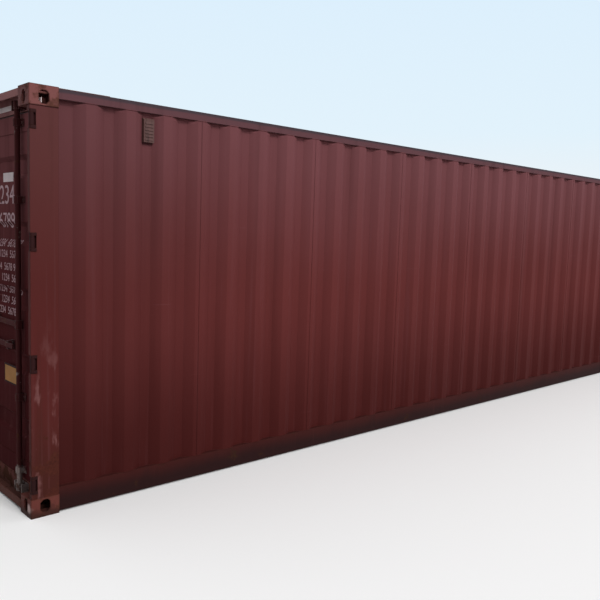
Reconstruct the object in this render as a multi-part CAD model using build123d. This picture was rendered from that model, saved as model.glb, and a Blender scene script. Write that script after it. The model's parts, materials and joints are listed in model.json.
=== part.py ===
"""Forty foot steel freight container, eight foot six high, built as its real pieces.

Millimetres. X runs along the length with the door end at -X, Y runs across and Z is up.
The origin is the middle of the footprint, on the ground that the bottom corner castings stand on.
"""
from build123d import *
import math
import os

# Overall size, taken over the corner castings
LENGTH = 12192.0
WIDTH = 2438.0
HEIGHT = 2591.0

# Corner castings
CASTING_LENGTH = 178.0
CASTING_WIDTH = 162.0
CASTING_HEIGHT = 118.0
SLOT_FROM_END = 103.5
SLOT_FROM_SIDE = 89.5
SLOT_LENGTH = 124.5
SLOT_WIDTH = 63.5
SLOT_PLATE = 28.5
CASTING_WALL = 14.0
CASTING_BACK_WALL = 11.5
SIDE_HOLE_WIDTH = 63.5
END_HOLE_WIDTH = 51.0
FACE_HOLE_HEIGHT = 79.5
FACE_HOLE_CORNER = 18.0
CASTING_EDGE_RADIUS = 6.0

# How far the steelwork stays inside the castings
SKIN_INSET = 6.0
TOP_INSET = 6.0
BOTTOM_INSET = 12.5

# Rails and posts
TOP_RAIL = 60.0
TOP_RAIL_WALL = 4.0
BOTTOM_RAIL_HEIGHT = 150.0
BOTTOM_RAIL_FLANGE = 48.0
BOTTOM_RAIL_STEEL = 4.5
FRONT_SILL_DEPTH = 60.0
FRONT_SILL_STEEL = 5.0
POST_STEEL = 6.0
FRONT_POST_WIDTH = 48.0
FRONT_POST_CHAMFER = 70.0

# Side wall sheet: the ribs stand on flats and slope back into recesses, and each end is half a recess
WALL_SHEET = 2.0
WALL_DEPTH = 36.0
WALL_END_MARGIN = 240.0
WALL_PITCH = 272.0
WALL_FLAT = 70.0
WALL_SLOPE = 68.0

# Front wall sheet
FRONT_DEPTH = 45.0
FRONT_END_MARGIN = 150.0
FRONT_PITCH = 256.0
FRONT_FLAT = 110.0
FRONT_SLOPE = 18.0

# Roof sheet with stamped troughs
ROOF_SHEET = 2.0
TROUGH_DEPTH = 20.0
TROUGH_WIDTH = 95.0
TROUGH_SLOPE = 22.0
TROUGH_PITCH = 214.0
TROUGH_MARGIN = 70.0
TROUGH_END_MARGIN = 130.0
CORNER_PLATE = 3.0
CORNER_PLATE_LENGTH = 330.0
CORNER_PLATE_WIDTH = 320.0

# Floor and its bearers
FLOOR_TOP = 164.0
FLOOR_BOARD = 28.0
BEARER_PITCH = 304.0
BEARER_FIRST = 330.0
BEARER_END_MARGIN = 120.0
BEARER_WIDTH = 45.0
BEARER_STEEL = 4.0
TUNNEL_LENGTH = 3315.0
TUNNEL_HALF_WIDTH = 515.0
TUNNEL_STEEL = 6.0

# Door end frame
JAMB_FROM_SIDE = 49.0
DOORWAY_DROP = 147.0
POST_RETURN = 35.0
JAMB_DEPTH = 38.0
SILL_FACE = 96.0
SILL_LEDGE = 138.0
HEADER_LEDGE_DROP = 121.0
LIP_INSET = 10.0
SILL_LIP_TOP = 65.0
HEADER_LIP_DROP = 51.0
DOOR_FRAME_STEEL = 6.0

# Door leaves
LEAF_FACE = 88.0
LEAF_DEPTH = 46.0
LEAF_FROM_SIDE = 34.0
LEAF_INNER_EDGE = 8.0
LEAF_GAP = 12.0
LEAF_OUTER_STILE = 100.0
LEAF_INNER_STILE = 80.0
LEAF_TOP_RAIL = 110.0
LEAF_BOTTOM_RAIL = 120.0
LEAF_SHEET = 2.0
LEAF_SHEET_INSET = 3.0
LEAF_RIBS = 5
LEAF_RIB_DEPTH = 22.0
LEAF_RIB_FLAT = 90.0
LEAF_RIB_SLOPE = 26.0
GASKET_REACH = 15.0
GASKET_REACH_ENDS = 6.0
GASKET_REACH_CENTRE = 3.0
GASKET_FRONT = 98.0
GASKET_DEPTH = 22.0

# Hinges
HINGES = 4
LOWEST_HINGE = 207.0
HIGHEST_HINGE_DROP = 199.0
MIDDLE_HINGE_LIFT = 18.0
NOTCH_HEIGHT = 110.0
NOTCH_DEPTH = 37.0
PIN_FROM_END = 18.0
PIN_FROM_SIDE = 14.0
PIN_RADIUS = 8.0
PIN_CLEARANCE = 0.3
BARREL_RADIUS = 14.0
LUG_HALF_WIDTH = 13.0
LUG_CORNER = 7.0
LUG_HEIGHT = 18.0
LUG_GAP = 1.0
STRAP_THICKNESS = 12.0
BLADE_PAD = 80.0
BLADE_PAD_THICKNESS = 10.0

# Locking gear
OUTER_BAR_FROM_SIDE = 340.0
INNER_BAR_FROM_CENTRE = 320.0
BAR_FROM_END = 62.0
BAR_RADIUS = 17.0
BAR_BOTTOM = 70.0
BAR_TOP_DROP = 59.0
CAM_HEIGHT = 46.0
CAM_HUB_RADIUS = 20.0
CAM_REACH = 38.0
CAM_NOSE = 11.0
CAM_SHOULDER = 0.68
GUIDE_HEIGHT = 46.0
GUIDE_STRAP = 5.0
GUIDE_FOOT = 26.0
GUIDE_CORNER = 10.0
GUIDE_CLEARANCE = 0.5
HANDLE_HEIGHTS = (1150.0, 1000.0)
HANDLE_END_GAP = 79.0
HANDLE_BLADE = 32.0
HANDLE_THICKNESS = 11.0
HANDLE_JOG = 9.0
HANDLE_STRAIGHT = 0.7
HANDLE_GRIP = 0.78
HANDLE_CLEARANCE = 0.3
HANDLE_HUB_RADIUS = 21.0
HANDLE_HUB_CORNER = 8.0
HANDLE_HUB_HEIGHT = 56.0
CATCH_FROM_HANDLE_END = 80.0
CATCH_WIDTH = 40.0
CATCH_PLATE = 6.0
CATCH_CLEARANCE = 7.0
KEEPER_PLATE = 6.0
KEEPER_HALF_WIDTH = 62.0
KEEPER_LUG = 10.0
KEEPER_REACH = 40.0
KEEPER_MARGIN = 7.0

# Ventilators
RECESSES_BEFORE_VENT = 2
VENT_DROP = 175.0
VENT_HEIGHT = 155.0
VENT_WIDTH = 84.0
VENT_BASE_WIDTH = 66.0
VENT_STAND = 26.0
VENT_BASE = 4.0

# Worked out from the sizes above
DOOR_END = -LENGTH / 2
FRONT_END = LENGTH / 2
SIDE = WIDTH / 2
SKIN_Y = SIDE - SKIN_INSET
POST_BOTTOM = CASTING_HEIGHT
POST_TOP = HEIGHT - CASTING_HEIGHT
ROOF_TOP = HEIGHT - TOP_INSET
RAIL_START = DOOR_END + CASTING_LENGTH
RAIL_END = FRONT_END - CASTING_LENGTH
BETWEEN_CASTINGS = SIDE - CASTING_WIDTH
WALL_BOTTOM = BOTTOM_INSET + BOTTOM_RAIL_HEIGHT
WALL_TOP = ROOF_TOP - TOP_RAIL
FLOOR_UNDERSIDE = FLOOR_TOP - FLOOR_BOARD
FLOOR_HALF_WIDTH = SKIN_Y - BOTTOM_RAIL_FLANGE
FRONT_FACE = FRONT_END - SKIN_INSET
FRONT_SILL_BACK = FRONT_FACE - FRONT_SILL_DEPTH
TUNNEL_START = FRONT_FACE - TUNNEL_LENGTH
LEAF_BACK = LEAF_FACE + LEAF_DEPTH
DOORWAY_HALF_WIDTH = SIDE - JAMB_FROM_SIDE
DOORWAY_TOP = HEIGHT - DOORWAY_DROP
HEADER_LEDGE = HEIGHT - HEADER_LEDGE_DROP
HEADER_LIP_BOTTOM = HEIGHT - HEADER_LIP_DROP
LEAF_OUTER_EDGE = SIDE - LEAF_FROM_SIDE
LEAF_BOTTOM = SILL_LEDGE + LEAF_GAP
LEAF_TOP = HEADER_LEDGE - LEAF_GAP
SHEET_BOTTOM = LEAF_BOTTOM + LEAF_BOTTOM_RAIL
SHEET_TOP = LEAF_TOP - LEAF_TOP_RAIL
LEAF_RIB_PITCH = (SHEET_TOP - SHEET_BOTTOM) / LEAF_RIBS
HINGE_BORE = PIN_RADIUS + PIN_CLEARANCE
PIN_FROM_CENTRE = SIDE - PIN_FROM_SIDE
HINGE_SPACING = (HEIGHT - HIGHEST_HINGE_DROP - LOWEST_HINGE) / (HINGES - 1)
HINGE_LIFTS = [0.0] + [MIDDLE_HINGE_LIFT] * (HINGES - 2) + [0.0]
HINGE_HEIGHTS = [LOWEST_HINGE + k * HINGE_SPACING + lift for k, lift in enumerate(HINGE_LIFTS)]
BAR_POSITIONS = (SIDE - OUTER_BAR_FROM_SIDE, INNER_BAR_FROM_CENTRE)
BAR_TOP = HEIGHT - BAR_TOP_DROP
HANDLE_LENGTH = BAR_POSITIONS[0] - BAR_POSITIONS[1] - HANDLE_END_GAP
CATCH_FROM_BAR = HANDLE_LENGTH - CATCH_FROM_HANDLE_END
GUIDE_HEIGHTS = (
    LEAF_BOTTOM + LEAF_BOTTOM_RAIL / 2,
    SHEET_BOTTOM + LEAF_RIB_PITCH,
    SHEET_TOP - LEAF_RIB_PITCH,
    LEAF_TOP - LEAF_TOP_RAIL / 2,
)


def block(x, y, z):
    """Straight-edged solid between two values on each axis."""
    middle = [(low + high) / 2 for low, high in (x, y, z)]
    return Pos(*middle) * Box(*[high - low for low, high in (x, y, z)])


def face_of(points, axis, at):
    """Flat face across an axis. Its points give the two other axes, in X, Y, Z order."""
    place = {"X": lambda u, v: (at, u, v), "Y": lambda u, v: (u, at, v), "Z": lambda u, v: (u, v, at)}[axis]
    return make_face(Polyline(*[place(u, v) for u, v in points], close=True))


def prism(points, axis, start, end):
    """Solid that carries one flat outline from start to end along an axis."""
    direction = {"X": (1, 0, 0), "Y": (0, 1, 0), "Z": (0, 0, 1)}[axis]
    return extrude(face_of(points, axis, start), amount=end - start, dir=direction)


def upright(x, y, radius, z):
    """Vertical round bar between two heights."""
    return Pos(x, y, (z[0] + z[1]) / 2) * Cylinder(radius, z[1] - z[0])


def bent_sheet(line, thickness):
    """Outline of a sheet bent along a line, with its thickness on the left of the line."""
    inner = []
    for i, (u, v) in enumerate(line):
        before = line[i - 1] if i > 0 else None
        after = line[i + 1] if i + 1 < len(line) else None
        normals = []
        for a, b in ((before, (u, v)), ((u, v), after)):
            if a is not None and b is not None:
                run = math.hypot(b[0] - a[0], b[1] - a[1])
                normals.append(((a[1] - b[1]) / run, (b[0] - a[0]) / run))
        nu = sum(n[0] for n in normals) / len(normals)
        nv = sum(n[1] for n in normals) / len(normals)
        scale = thickness / (nu * nu + nv * nv)
        inner.append((u + nu * scale, v + nv * scale))
    return list(line) + inner[::-1]


def other_side(solids):
    """The same pieces on the +Y side."""
    return [mirror(solid, about=Plane.XZ) for solid in solids]


def spread(low, high, pitch):
    """As many places at one pitch as fit between two limits, centred between them."""
    slack = 1e-6
    count = int((high - low) / pitch + slack) + 1
    first = (low + high - (count - 1) * pitch) / 2
    return [first + k * pitch for k in range(count)]


def cut_corners(across, low, high, corner, side):
    """Outline of a bar whose two far corners are cut off. side is 1 or -1, the way it reaches."""
    near, far = (low, high) if side > 0 else (high, low)
    cut = corner * side
    return [
        (near, across[0]),
        (far - cut, across[0]),
        (far, across[0] + corner),
        (far, across[1] - corner),
        (far - cut, across[1]),
        (near, across[1]),
    ]


def save(name, solids):
    """Write one node, with each of its solids kept separate."""
    kept = [solid for shape in solids for solid in shape.solids()]
    export_step(kept[0] if len(kept) == 1 else Compound(kept), f"parts/{name}.step")


def corner_casting():
    """Hollow casting at the door end's right bottom corner, slot downwards."""
    x0, y0 = DOOR_END, -SIDE
    x1, y1 = x0 + CASTING_LENGTH, y0 + CASTING_WIDTH
    body = block((x0, x1), (y0, y1), (0, CASTING_HEIGHT))
    outer_upright = body.edges().filter_by(Axis.Z).sort_by(Axis.X)[:2].sort_by(Axis.Y)[0]
    body = fillet(outer_upright, CASTING_EDGE_RADIUS)
    cavity = block(
        (x0 + CASTING_WALL, x1 - CASTING_BACK_WALL),
        (y0 + CASTING_WALL, y1 - CASTING_BACK_WALL),
        (SLOT_PLATE, CASTING_HEIGHT - CASTING_BACK_WALL),
    )
    slot_outline = Pos(x0 + SLOT_FROM_END, y0 + SLOT_FROM_SIDE) * SlotOverall(SLOT_LENGTH, SLOT_WIDTH)
    slot = extrude(slot_outline, amount=SLOT_PLATE)

    def face_hole(middle, width):
        corner = FACE_HOLE_CORNER
        low, high = SLOT_PLATE, SLOT_PLATE + FACE_HOLE_HEIGHT
        left, right = middle - width / 2, middle + width / 2
        return [
            (left, low + corner),
            (left + corner, low),
            (right - corner, low),
            (right, low + corner),
            (right, high - corner),
            (right - corner, high),
            (left + corner, high),
            (left, high - corner),
        ]

    side_hole = prism(face_hole(x0 + CASTING_LENGTH / 2, SIDE_HOLE_WIDTH), "Y", y0, y0 + CASTING_WALL)
    end_hole = prism(face_hole(y0 + CASTING_WIDTH / 2, END_HOLE_WIDTH), "X", x0, x0 + CASTING_WALL)
    return body - cavity - slot - side_hole - end_hole


def four_corners(solid):
    """A piece at one bottom or top corner, repeated at all four."""
    door_end = [solid] + other_side([solid])
    return door_end + [mirror(piece, about=Plane.YZ) for piece in door_end]


def castings():
    """Bottom and top sets of four castings."""
    bottom = corner_casting()
    top = mirror(bottom, about=Plane(origin=(0, 0, HEIGHT / 2), z_dir=(0, 0, 1)))
    save("bottom_corner_castings", four_corners(bottom))
    save("top_corner_castings", four_corners(top))


WALL_RECESSES = spread(DOOR_END + WALL_END_MARGIN, FRONT_END - WALL_END_MARGIN, WALL_PITCH)


def side_wall_line():
    """Plan view of the right wall's outer surface, which meets each post in half a recess."""
    line = []
    half = WALL_FLAT / 2
    for middle in WALL_RECESSES:
        line += [
            (middle - half - WALL_SLOPE, -SKIN_Y),
            (middle - half, -SKIN_Y + WALL_DEPTH),
            (middle + half, -SKIN_Y + WALL_DEPTH),
            (middle + half + WALL_SLOPE, -SKIN_Y),
        ]
    start, end = (RAIL_START, -SKIN_Y + WALL_DEPTH), (RAIL_END, -SKIN_Y + WALL_DEPTH)
    return [start] + line[2:-2] + [end]


def side_walls():
    """Long walls of ribbed sheet between the bottom and top rails."""
    wall = prism(bent_sheet(side_wall_line(), WALL_SHEET), "Z", WALL_BOTTOM, WALL_TOP)
    save("side_wall_right", [wall])
    save("side_wall_left", other_side([wall]))


def side_rails():
    """Top tubes and bottom channels along both sides."""
    y0 = -SKIN_Y
    top = block((RAIL_START, RAIL_END), (y0, y0 + TOP_RAIL), (WALL_TOP, ROOF_TOP))
    top -= block(
        (RAIL_START, RAIL_END),
        (y0 + TOP_RAIL_WALL, y0 + TOP_RAIL - TOP_RAIL_WALL),
        (WALL_TOP + TOP_RAIL_WALL, ROOF_TOP - TOP_RAIL_WALL),
    )
    line = [
        (y0 + BOTTOM_RAIL_FLANGE, WALL_BOTTOM),
        (y0, WALL_BOTTOM),
        (y0, BOTTOM_INSET),
        (y0 + BOTTOM_RAIL_FLANGE, BOTTOM_INSET),
    ]
    bottom = prism(bent_sheet(line, BOTTOM_RAIL_STEEL), "X", RAIL_START, RAIL_END)
    save("top_side_rail_right", [top])
    save("top_side_rail_left", other_side([top]))
    save("bottom_side_rail_right", [bottom])
    save("bottom_side_rail_left", other_side([bottom]))


def front_end():
    """Blind end: ribbed wall, top tube, sill tubes beside the tunnel's mouth, and boxed corner posts."""
    y0 = -SKIN_Y
    line = [(FRONT_FACE, -BETWEEN_CASTINGS)]
    half = FRONT_FLAT / 2
    reach = BETWEEN_CASTINGS - FRONT_END_MARGIN
    for middle in spread(-reach, reach, FRONT_PITCH):
        line += [
            (FRONT_FACE, middle - half - FRONT_SLOPE),
            (FRONT_FACE - FRONT_DEPTH, middle - half),
            (FRONT_FACE - FRONT_DEPTH, middle + half),
            (FRONT_FACE, middle + half + FRONT_SLOPE),
        ]
    line += [(FRONT_FACE, BETWEEN_CASTINGS)]
    save("front_wall", [prism(bent_sheet(line, WALL_SHEET), "Z", WALL_BOTTOM, WALL_TOP)])

    across = (-BETWEEN_CASTINGS, BETWEEN_CASTINGS)
    top = block((FRONT_FACE - TOP_RAIL, FRONT_FACE), across, (WALL_TOP, ROOF_TOP))
    top -= block(
        (FRONT_FACE - TOP_RAIL + TOP_RAIL_WALL, FRONT_FACE - TOP_RAIL_WALL),
        across,
        (WALL_TOP + TOP_RAIL_WALL, ROOF_TOP - TOP_RAIL_WALL),
    )
    save("front_top_rail", [top])

    beside_tunnel = (-BETWEEN_CASTINGS, -TUNNEL_HALF_WIDTH)
    tube = block((FRONT_SILL_BACK, FRONT_FACE), beside_tunnel, (BOTTOM_INSET, WALL_BOTTOM))
    tube -= block(
        (FRONT_SILL_BACK + FRONT_SILL_STEEL, FRONT_FACE - FRONT_SILL_STEEL),
        (-BETWEEN_CASTINGS, -TUNNEL_HALF_WIDTH - FRONT_SILL_STEEL),
        (BOTTOM_INSET + FRONT_SILL_STEEL, WALL_BOTTOM - FRONT_SILL_STEEL),
    )
    save("front_bottom_rail", [tube] + other_side([tube]))

    inward = y0 + FRONT_POST_WIDTH
    outline = [
        (RAIL_END, y0),
        (FRONT_FACE, y0),
        (FRONT_FACE, -BETWEEN_CASTINGS),
        (FRONT_FACE - FRONT_DEPTH, -BETWEEN_CASTINGS),
        (FRONT_FACE - FRONT_DEPTH - FRONT_POST_CHAMFER, inward),
        (RAIL_END, inward),
    ]
    section = make_face(Polyline(*outline, close=True))
    section -= offset(section, amount=-POST_STEEL, kind=Kind.INTERSECTION)
    post = extrude(Pos(0, 0, POST_BOTTOM) * section, amount=POST_TOP - POST_BOTTOM)
    save("front_corner_post_right", [post])
    save("front_corner_post_left", other_side([post]))


def roof():
    """Roof sheet between the rails, stamped with troughs that have sloped ends."""
    half = SKIN_Y - TOP_RAIL
    back = FRONT_FACE - TOP_RAIL
    sheet = block((RAIL_START, back), (-half, half), (ROOF_TOP - ROOF_SHEET, ROOF_TOP))
    for side in (-1, 1):
        edges = sorted((side * BETWEEN_CASTINGS, side * half))
        sheet -= block((RAIL_END, back), edges, (ROOF_TOP - ROOF_SHEET, ROOF_TOP))
    length = 2 * (half - TROUGH_MARGIN)

    def pan(x, top, depth, shrink):
        """Trough shape hanging from a height, smaller all round by shrink, with planar sloped sides."""
        wide, long = TROUGH_WIDTH - 2 * shrink, length - 2 * shrink
        slope = TROUGH_SLOPE
        wedge = Wedge(wide, depth, long, slope, slope, wide - slope, long - slope)
        return Pos(x, 0, top - depth / 2) * Rot(-90, 0, 0) * wedge

    places = spread(RAIL_START + TROUGH_END_MARGIN, back - TROUGH_END_MARGIN, TROUGH_PITCH)
    sheet = sheet + [pan(x, ROOF_TOP - ROOF_SHEET / 2, TROUGH_DEPTH + ROOF_SHEET / 2, 0) for x in places]
    sheet = sheet - [pan(x, ROOF_TOP, TROUGH_DEPTH, ROOF_SHEET) for x in places]
    save("roof_panel", [sheet])

    plate = block(
        (RAIL_START, RAIL_START + CORNER_PLATE_LENGTH),
        (-SKIN_Y, -SKIN_Y + CORNER_PLATE_WIDTH),
        (ROOF_TOP, ROOF_TOP + CORNER_PLATE),
    )
    save("roof_corner_plates", four_corners(plate))


def floor_and_bearers():
    """Plywood floor, cross bearers and the tunnel for a gooseneck chassis."""
    back = FRONT_SILL_BACK
    floor = block((RAIL_START, back), (-FLOOR_HALF_WIDTH, FLOOR_HALF_WIDTH), (FLOOR_UNDERSIDE, FLOOR_TOP))
    for side in (-1, 1):
        edges = sorted((side * BETWEEN_CASTINGS, side * FLOOR_HALF_WIDTH))
        floor -= block((RAIL_END, back), edges, (FLOOR_UNDERSIDE, FLOOR_TOP))
    save("floor", [floor])

    web = SKIN_Y - BOTTOM_RAIL_STEEL
    lower = BOTTOM_INSET + BOTTOM_RAIL_STEEL
    bearers = []
    first = DOOR_END + BEARER_FIRST
    count = int((back - BEARER_END_MARGIN - first) / BEARER_PITCH) + 1
    for x in [first + k * BEARER_PITCH for k in range(count)]:
        line = [
            (x + BEARER_WIDTH, lower),
            (x, lower),
            (x, FLOOR_UNDERSIDE),
            (x + BEARER_WIDTH, FLOOR_UNDERSIDE),
        ]
        section = bent_sheet(line[::-1], BEARER_STEEL)
        if x + BEARER_WIDTH < TUNNEL_START:
            bearers.append(prism(section, "Y", -web, web))
        else:
            short = prism(section, "Y", -web, -TUNNEL_HALF_WIDTH - TUNNEL_STEEL)
            bearers += [short] + other_side([short])
    save("cross_bearers", bearers)

    half = TUNNEL_HALF_WIDTH
    mouth = FLOOR_UNDERSIDE - TUNNEL_STEEL
    line = [(-half, lower), (-half, mouth), (half, mouth), (half, lower)]
    tunnel = prism(bent_sheet(line, TUNNEL_STEEL), "X", TUNNEL_START, FRONT_SILL_BACK)
    tunnel += block((FRONT_SILL_BACK, FRONT_FACE), (-half, half), (mouth, WALL_BOTTOM))
    tunnel -= block(
        (FRONT_SILL_BACK + FRONT_SILL_STEEL, FRONT_FACE - FRONT_SILL_STEEL),
        (-half, half),
        (FLOOR_UNDERSIDE, WALL_BOTTOM - FRONT_SILL_STEEL),
    )
    save("gooseneck_tunnel", [tunnel])


def door_frame():
    """Corner posts with hinge notches, header and sill at the door end."""
    y0 = -SKIN_Y
    x0 = DOOR_END + SKIN_INSET
    line = [
        (x0, y0 + POST_RETURN),
        (x0, y0),
        (RAIL_START, y0),
        (RAIL_START, -DOORWAY_HALF_WIDTH),
        (RAIL_START - JAMB_DEPTH, -DOORWAY_HALF_WIDTH),
    ]
    post = prism(bent_sheet(line, POST_STEEL), "Z", POST_BOTTOM, POST_TOP)
    for height in HINGE_HEIGHTS:
        post -= block(
            (x0, x0 + NOTCH_DEPTH),
            (y0, y0 + POST_RETURN),
            (height - NOTCH_HEIGHT / 2, height + NOTCH_HEIGHT / 2),
        )
    save("door_corner_post_right", [post])
    save("door_corner_post_left", other_side([post]))

    steel = DOOR_FRAME_STEEL
    lip, face = DOOR_END + LIP_INSET, DOOR_END + SILL_FACE
    jamb, back = RAIL_START - JAMB_DEPTH, RAIL_START

    def rail(outer_z, lip_z, ledge_z, inner_z, up):
        """Boxed rail with a lip. up is 1 where the box stands over its outer plate, -1 where it hangs."""
        outline = [
            (lip, lip_z),
            (lip, outer_z),
            (back, outer_z),
            (back, inner_z),
            (jamb, inner_z),
            (jamb, ledge_z),
            (face, ledge_z),
            (face, outer_z + up * steel),
            (lip + steel, outer_z + up * steel),
            (lip + steel, lip_z),
        ]
        hollow = [
            (face + steel, outer_z + up * steel),
            (back - steel, outer_z + up * steel),
            (back - steel, inner_z - up * steel),
            (jamb + steel, inner_z - up * steel),
            (jamb + steel, ledge_z - up * steel),
            (face + steel, ledge_z - up * steel),
        ]
        solid = prism(outline, "Y", -BETWEEN_CASTINGS, BETWEEN_CASTINGS)
        solid -= prism(hollow, "Y", -BETWEEN_CASTINGS, BETWEEN_CASTINGS)
        casting_face = outer_z + up * (CASTING_HEIGHT - abs(outer_z - (0 if up > 0 else HEIGHT)))
        for side in (-1, 1):
            edges = sorted((side * BETWEEN_CASTINGS, side * DOORWAY_HALF_WIDTH))
            heights = sorted((casting_face, inner_z))
            inside = sorted((casting_face + up * steel, inner_z - up * steel))
            solid += block((jamb, back), edges, heights)
            solid -= block((jamb + steel, back - steel), edges, inside)
        return solid

    save("door_sill", [rail(BOTTOM_INSET, SILL_LIP_TOP, SILL_LEDGE, FLOOR_TOP, 1)])
    save("door_header", [rail(ROOF_TOP, HEADER_LIP_BOTTOM, HEADER_LEDGE, DOORWAY_TOP, -1)])


def hinge_lugs():
    """Pins with their two lugs, four to a post."""
    x, y = DOOR_END + PIN_FROM_END, -PIN_FROM_CENTRE
    notch_back = DOOR_END + SKIN_INSET + NOTCH_DEPTH
    across = (max(y - LUG_HALF_WIDTH, -SIDE), y + LUG_HALF_WIDTH)
    outline = cut_corners(across, x - LUG_HALF_WIDTH, notch_back, LUG_CORNER, -1)
    pieces = []
    for height in HINGE_HEIGHTS:
        low, high = height - NOTCH_HEIGHT / 2, height + NOTCH_HEIGHT / 2
        piece = upright(x, y, PIN_RADIUS, (low + LUG_HEIGHT, high - LUG_HEIGHT))
        for z in ((low, low + LUG_HEIGHT), (high - LUG_HEIGHT, high)):
            piece += prism(outline, "Z", *z)
        pieces.append(piece)
    save("hinge_lugs", pieces + other_side(pieces))


def hinge_blades():
    """Barrels with straps that reach round to the leaf's face."""
    x, y = DOOR_END + PIN_FROM_END, -PIN_FROM_CENTRE
    face = DOOR_END + LEAF_FACE
    pad = (-LEAF_OUTER_EDGE, -LEAF_OUTER_EDGE + BLADE_PAD)
    end = (face - BLADE_PAD_THICKNESS / 2, -LEAF_OUTER_EDGE + STRAP_THICKNESS)
    run = math.hypot(end[0] - x, end[1] - y)
    nu, nv = (y - end[1]) / run * STRAP_THICKNESS / 2, (end[0] - x) / run * STRAP_THICKNESS / 2
    strap = [(x + nu, y + nv), (end[0] + nu, end[1] + nv), (end[0] - nu, end[1] - nv), (x - nu, y - nv)]
    pieces = []
    for height in HINGE_HEIGHTS:
        half = NOTCH_HEIGHT / 2 - LUG_HEIGHT - LUG_GAP
        z = (height - half, height + half)
        piece = upright(x, y, BARREL_RADIUS, z)
        piece += prism(strap, "Z", *z)
        piece += block((face - BLADE_PAD_THICKNESS, face), pad, z)
        piece -= upright(x, y, HINGE_BORE, z)
        pieces.append(piece)
    return pieces


def leaf_frame():
    """Stiles and rails of the right leaf, in one welded ring."""
    x = (DOOR_END + LEAF_FACE, DOOR_END + LEAF_BACK)
    ring = block(x, (-LEAF_OUTER_EDGE, -LEAF_INNER_EDGE), (LEAF_BOTTOM, LEAF_TOP))
    ring -= block(
        x,
        (-LEAF_OUTER_EDGE + LEAF_OUTER_STILE, -LEAF_INNER_EDGE - LEAF_INNER_STILE),
        (SHEET_BOTTOM, SHEET_TOP),
    )
    return [ring]


def leaf_panel():
    """Leaf sheet with lying ribs, set inside the ring."""
    x0 = DOOR_END + LEAF_FACE + LEAF_SHEET_INSET
    half = LEAF_RIB_FLAT / 2
    line = [(x0, SHEET_BOTTOM)]
    for k in range(LEAF_RIBS):
        middle = SHEET_BOTTOM + (k + 0.5) * LEAF_RIB_PITCH
        line += [
            (x0, middle - half - LEAF_RIB_SLOPE),
            (x0 + LEAF_RIB_DEPTH, middle - half),
            (x0 + LEAF_RIB_DEPTH, middle + half),
            (x0, middle + half + LEAF_RIB_SLOPE),
        ]
    line += [(x0, SHEET_TOP)]
    section = bent_sheet(line[::-1], LEAF_SHEET)
    return [prism(section, "Y", -LEAF_OUTER_EDGE + LEAF_OUTER_STILE, -LEAF_INNER_EDGE - LEAF_INNER_STILE)]


def leaf_gasket():
    """Rubber seal round the right leaf's edge."""
    x = (DOOR_END + GASKET_FRONT, DOOR_END + GASKET_FRONT + GASKET_DEPTH)
    seal = block(
        x,
        (-LEAF_OUTER_EDGE - GASKET_REACH, -LEAF_INNER_EDGE + GASKET_REACH_CENTRE),
        (LEAF_BOTTOM - GASKET_REACH_ENDS, LEAF_TOP + GASKET_REACH_ENDS),
    )
    seal -= block(x, (-LEAF_OUTER_EDGE, -LEAF_INNER_EDGE), (LEAF_BOTTOM, LEAF_TOP))
    return [seal]


def leaf_seat(height):
    """How far from the door end a bracket at this height meets the leaf's ring or its sheet."""
    on_sheet = SHEET_BOTTOM < height < SHEET_TOP
    return DOOR_END + LEAF_FACE + (LEAF_SHEET_INSET if on_sheet else 0)


def bar_guides():
    """Pressed straps that hold the lock bars to the leaf, open towards it."""
    x = DOOR_END + BAR_FROM_END
    inside = BAR_RADIUS + GUIDE_CLEARANCE
    reach = inside + GUIDE_STRAP
    pieces = []
    for across in BAR_POSITIONS:
        for height in GUIDE_HEIGHTS:
            foot = leaf_seat(height)
            line = [
                (foot, -across - reach - GUIDE_FOOT),
                (foot, -across - reach + GUIDE_STRAP),
                (x - inside + GUIDE_CORNER, -across - inside),
                (x - inside, -across - inside + GUIDE_CORNER),
                (x - inside, -across + inside - GUIDE_CORNER),
                (x - inside + GUIDE_CORNER, -across + inside),
                (foot, -across + inside),
                (foot, -across + reach + GUIDE_FOOT),
            ]
            strap = bent_sheet(line, GUIDE_STRAP)
            pieces.append(prism(strap, "Z", height - GUIDE_HEIGHT / 2, height + GUIDE_HEIGHT / 2))
    return pieces


def lock_bar(across, towards):
    """Upright bar with a cam at each end. towards is the way its noses and its handle point, along Y."""
    x, y = DOOR_END + BAR_FROM_END, -across
    bar = upright(x, y, BAR_RADIUS, (BAR_BOTTOM, BAR_TOP))
    hub, nose = CAM_HUB_RADIUS, CAM_NOSE
    outline = [
        (x - hub / 2, y - towards * hub),
        (x - hub, y - towards * hub / 2),
        (x - hub, y + towards * hub / 2),
        (x - nose, y + towards * CAM_REACH * CAM_SHOULDER),
        (x - nose, y + towards * CAM_REACH),
        (x + nose / 2, y + towards * CAM_REACH),
        (x + nose, y + towards * (CAM_REACH - nose / 2)),
        (x + nose, y + towards * CAM_REACH * CAM_SHOULDER),
        (x + hub, y + towards * hub / 2),
        (x + hub, y - towards * hub / 2),
        (x + hub / 2, y - towards * hub),
    ]
    for low in (BAR_BOTTOM, BAR_TOP - CAM_HEIGHT):
        bar += prism(outline, "Z", low, low + CAM_HEIGHT)
    return [bar]


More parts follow.
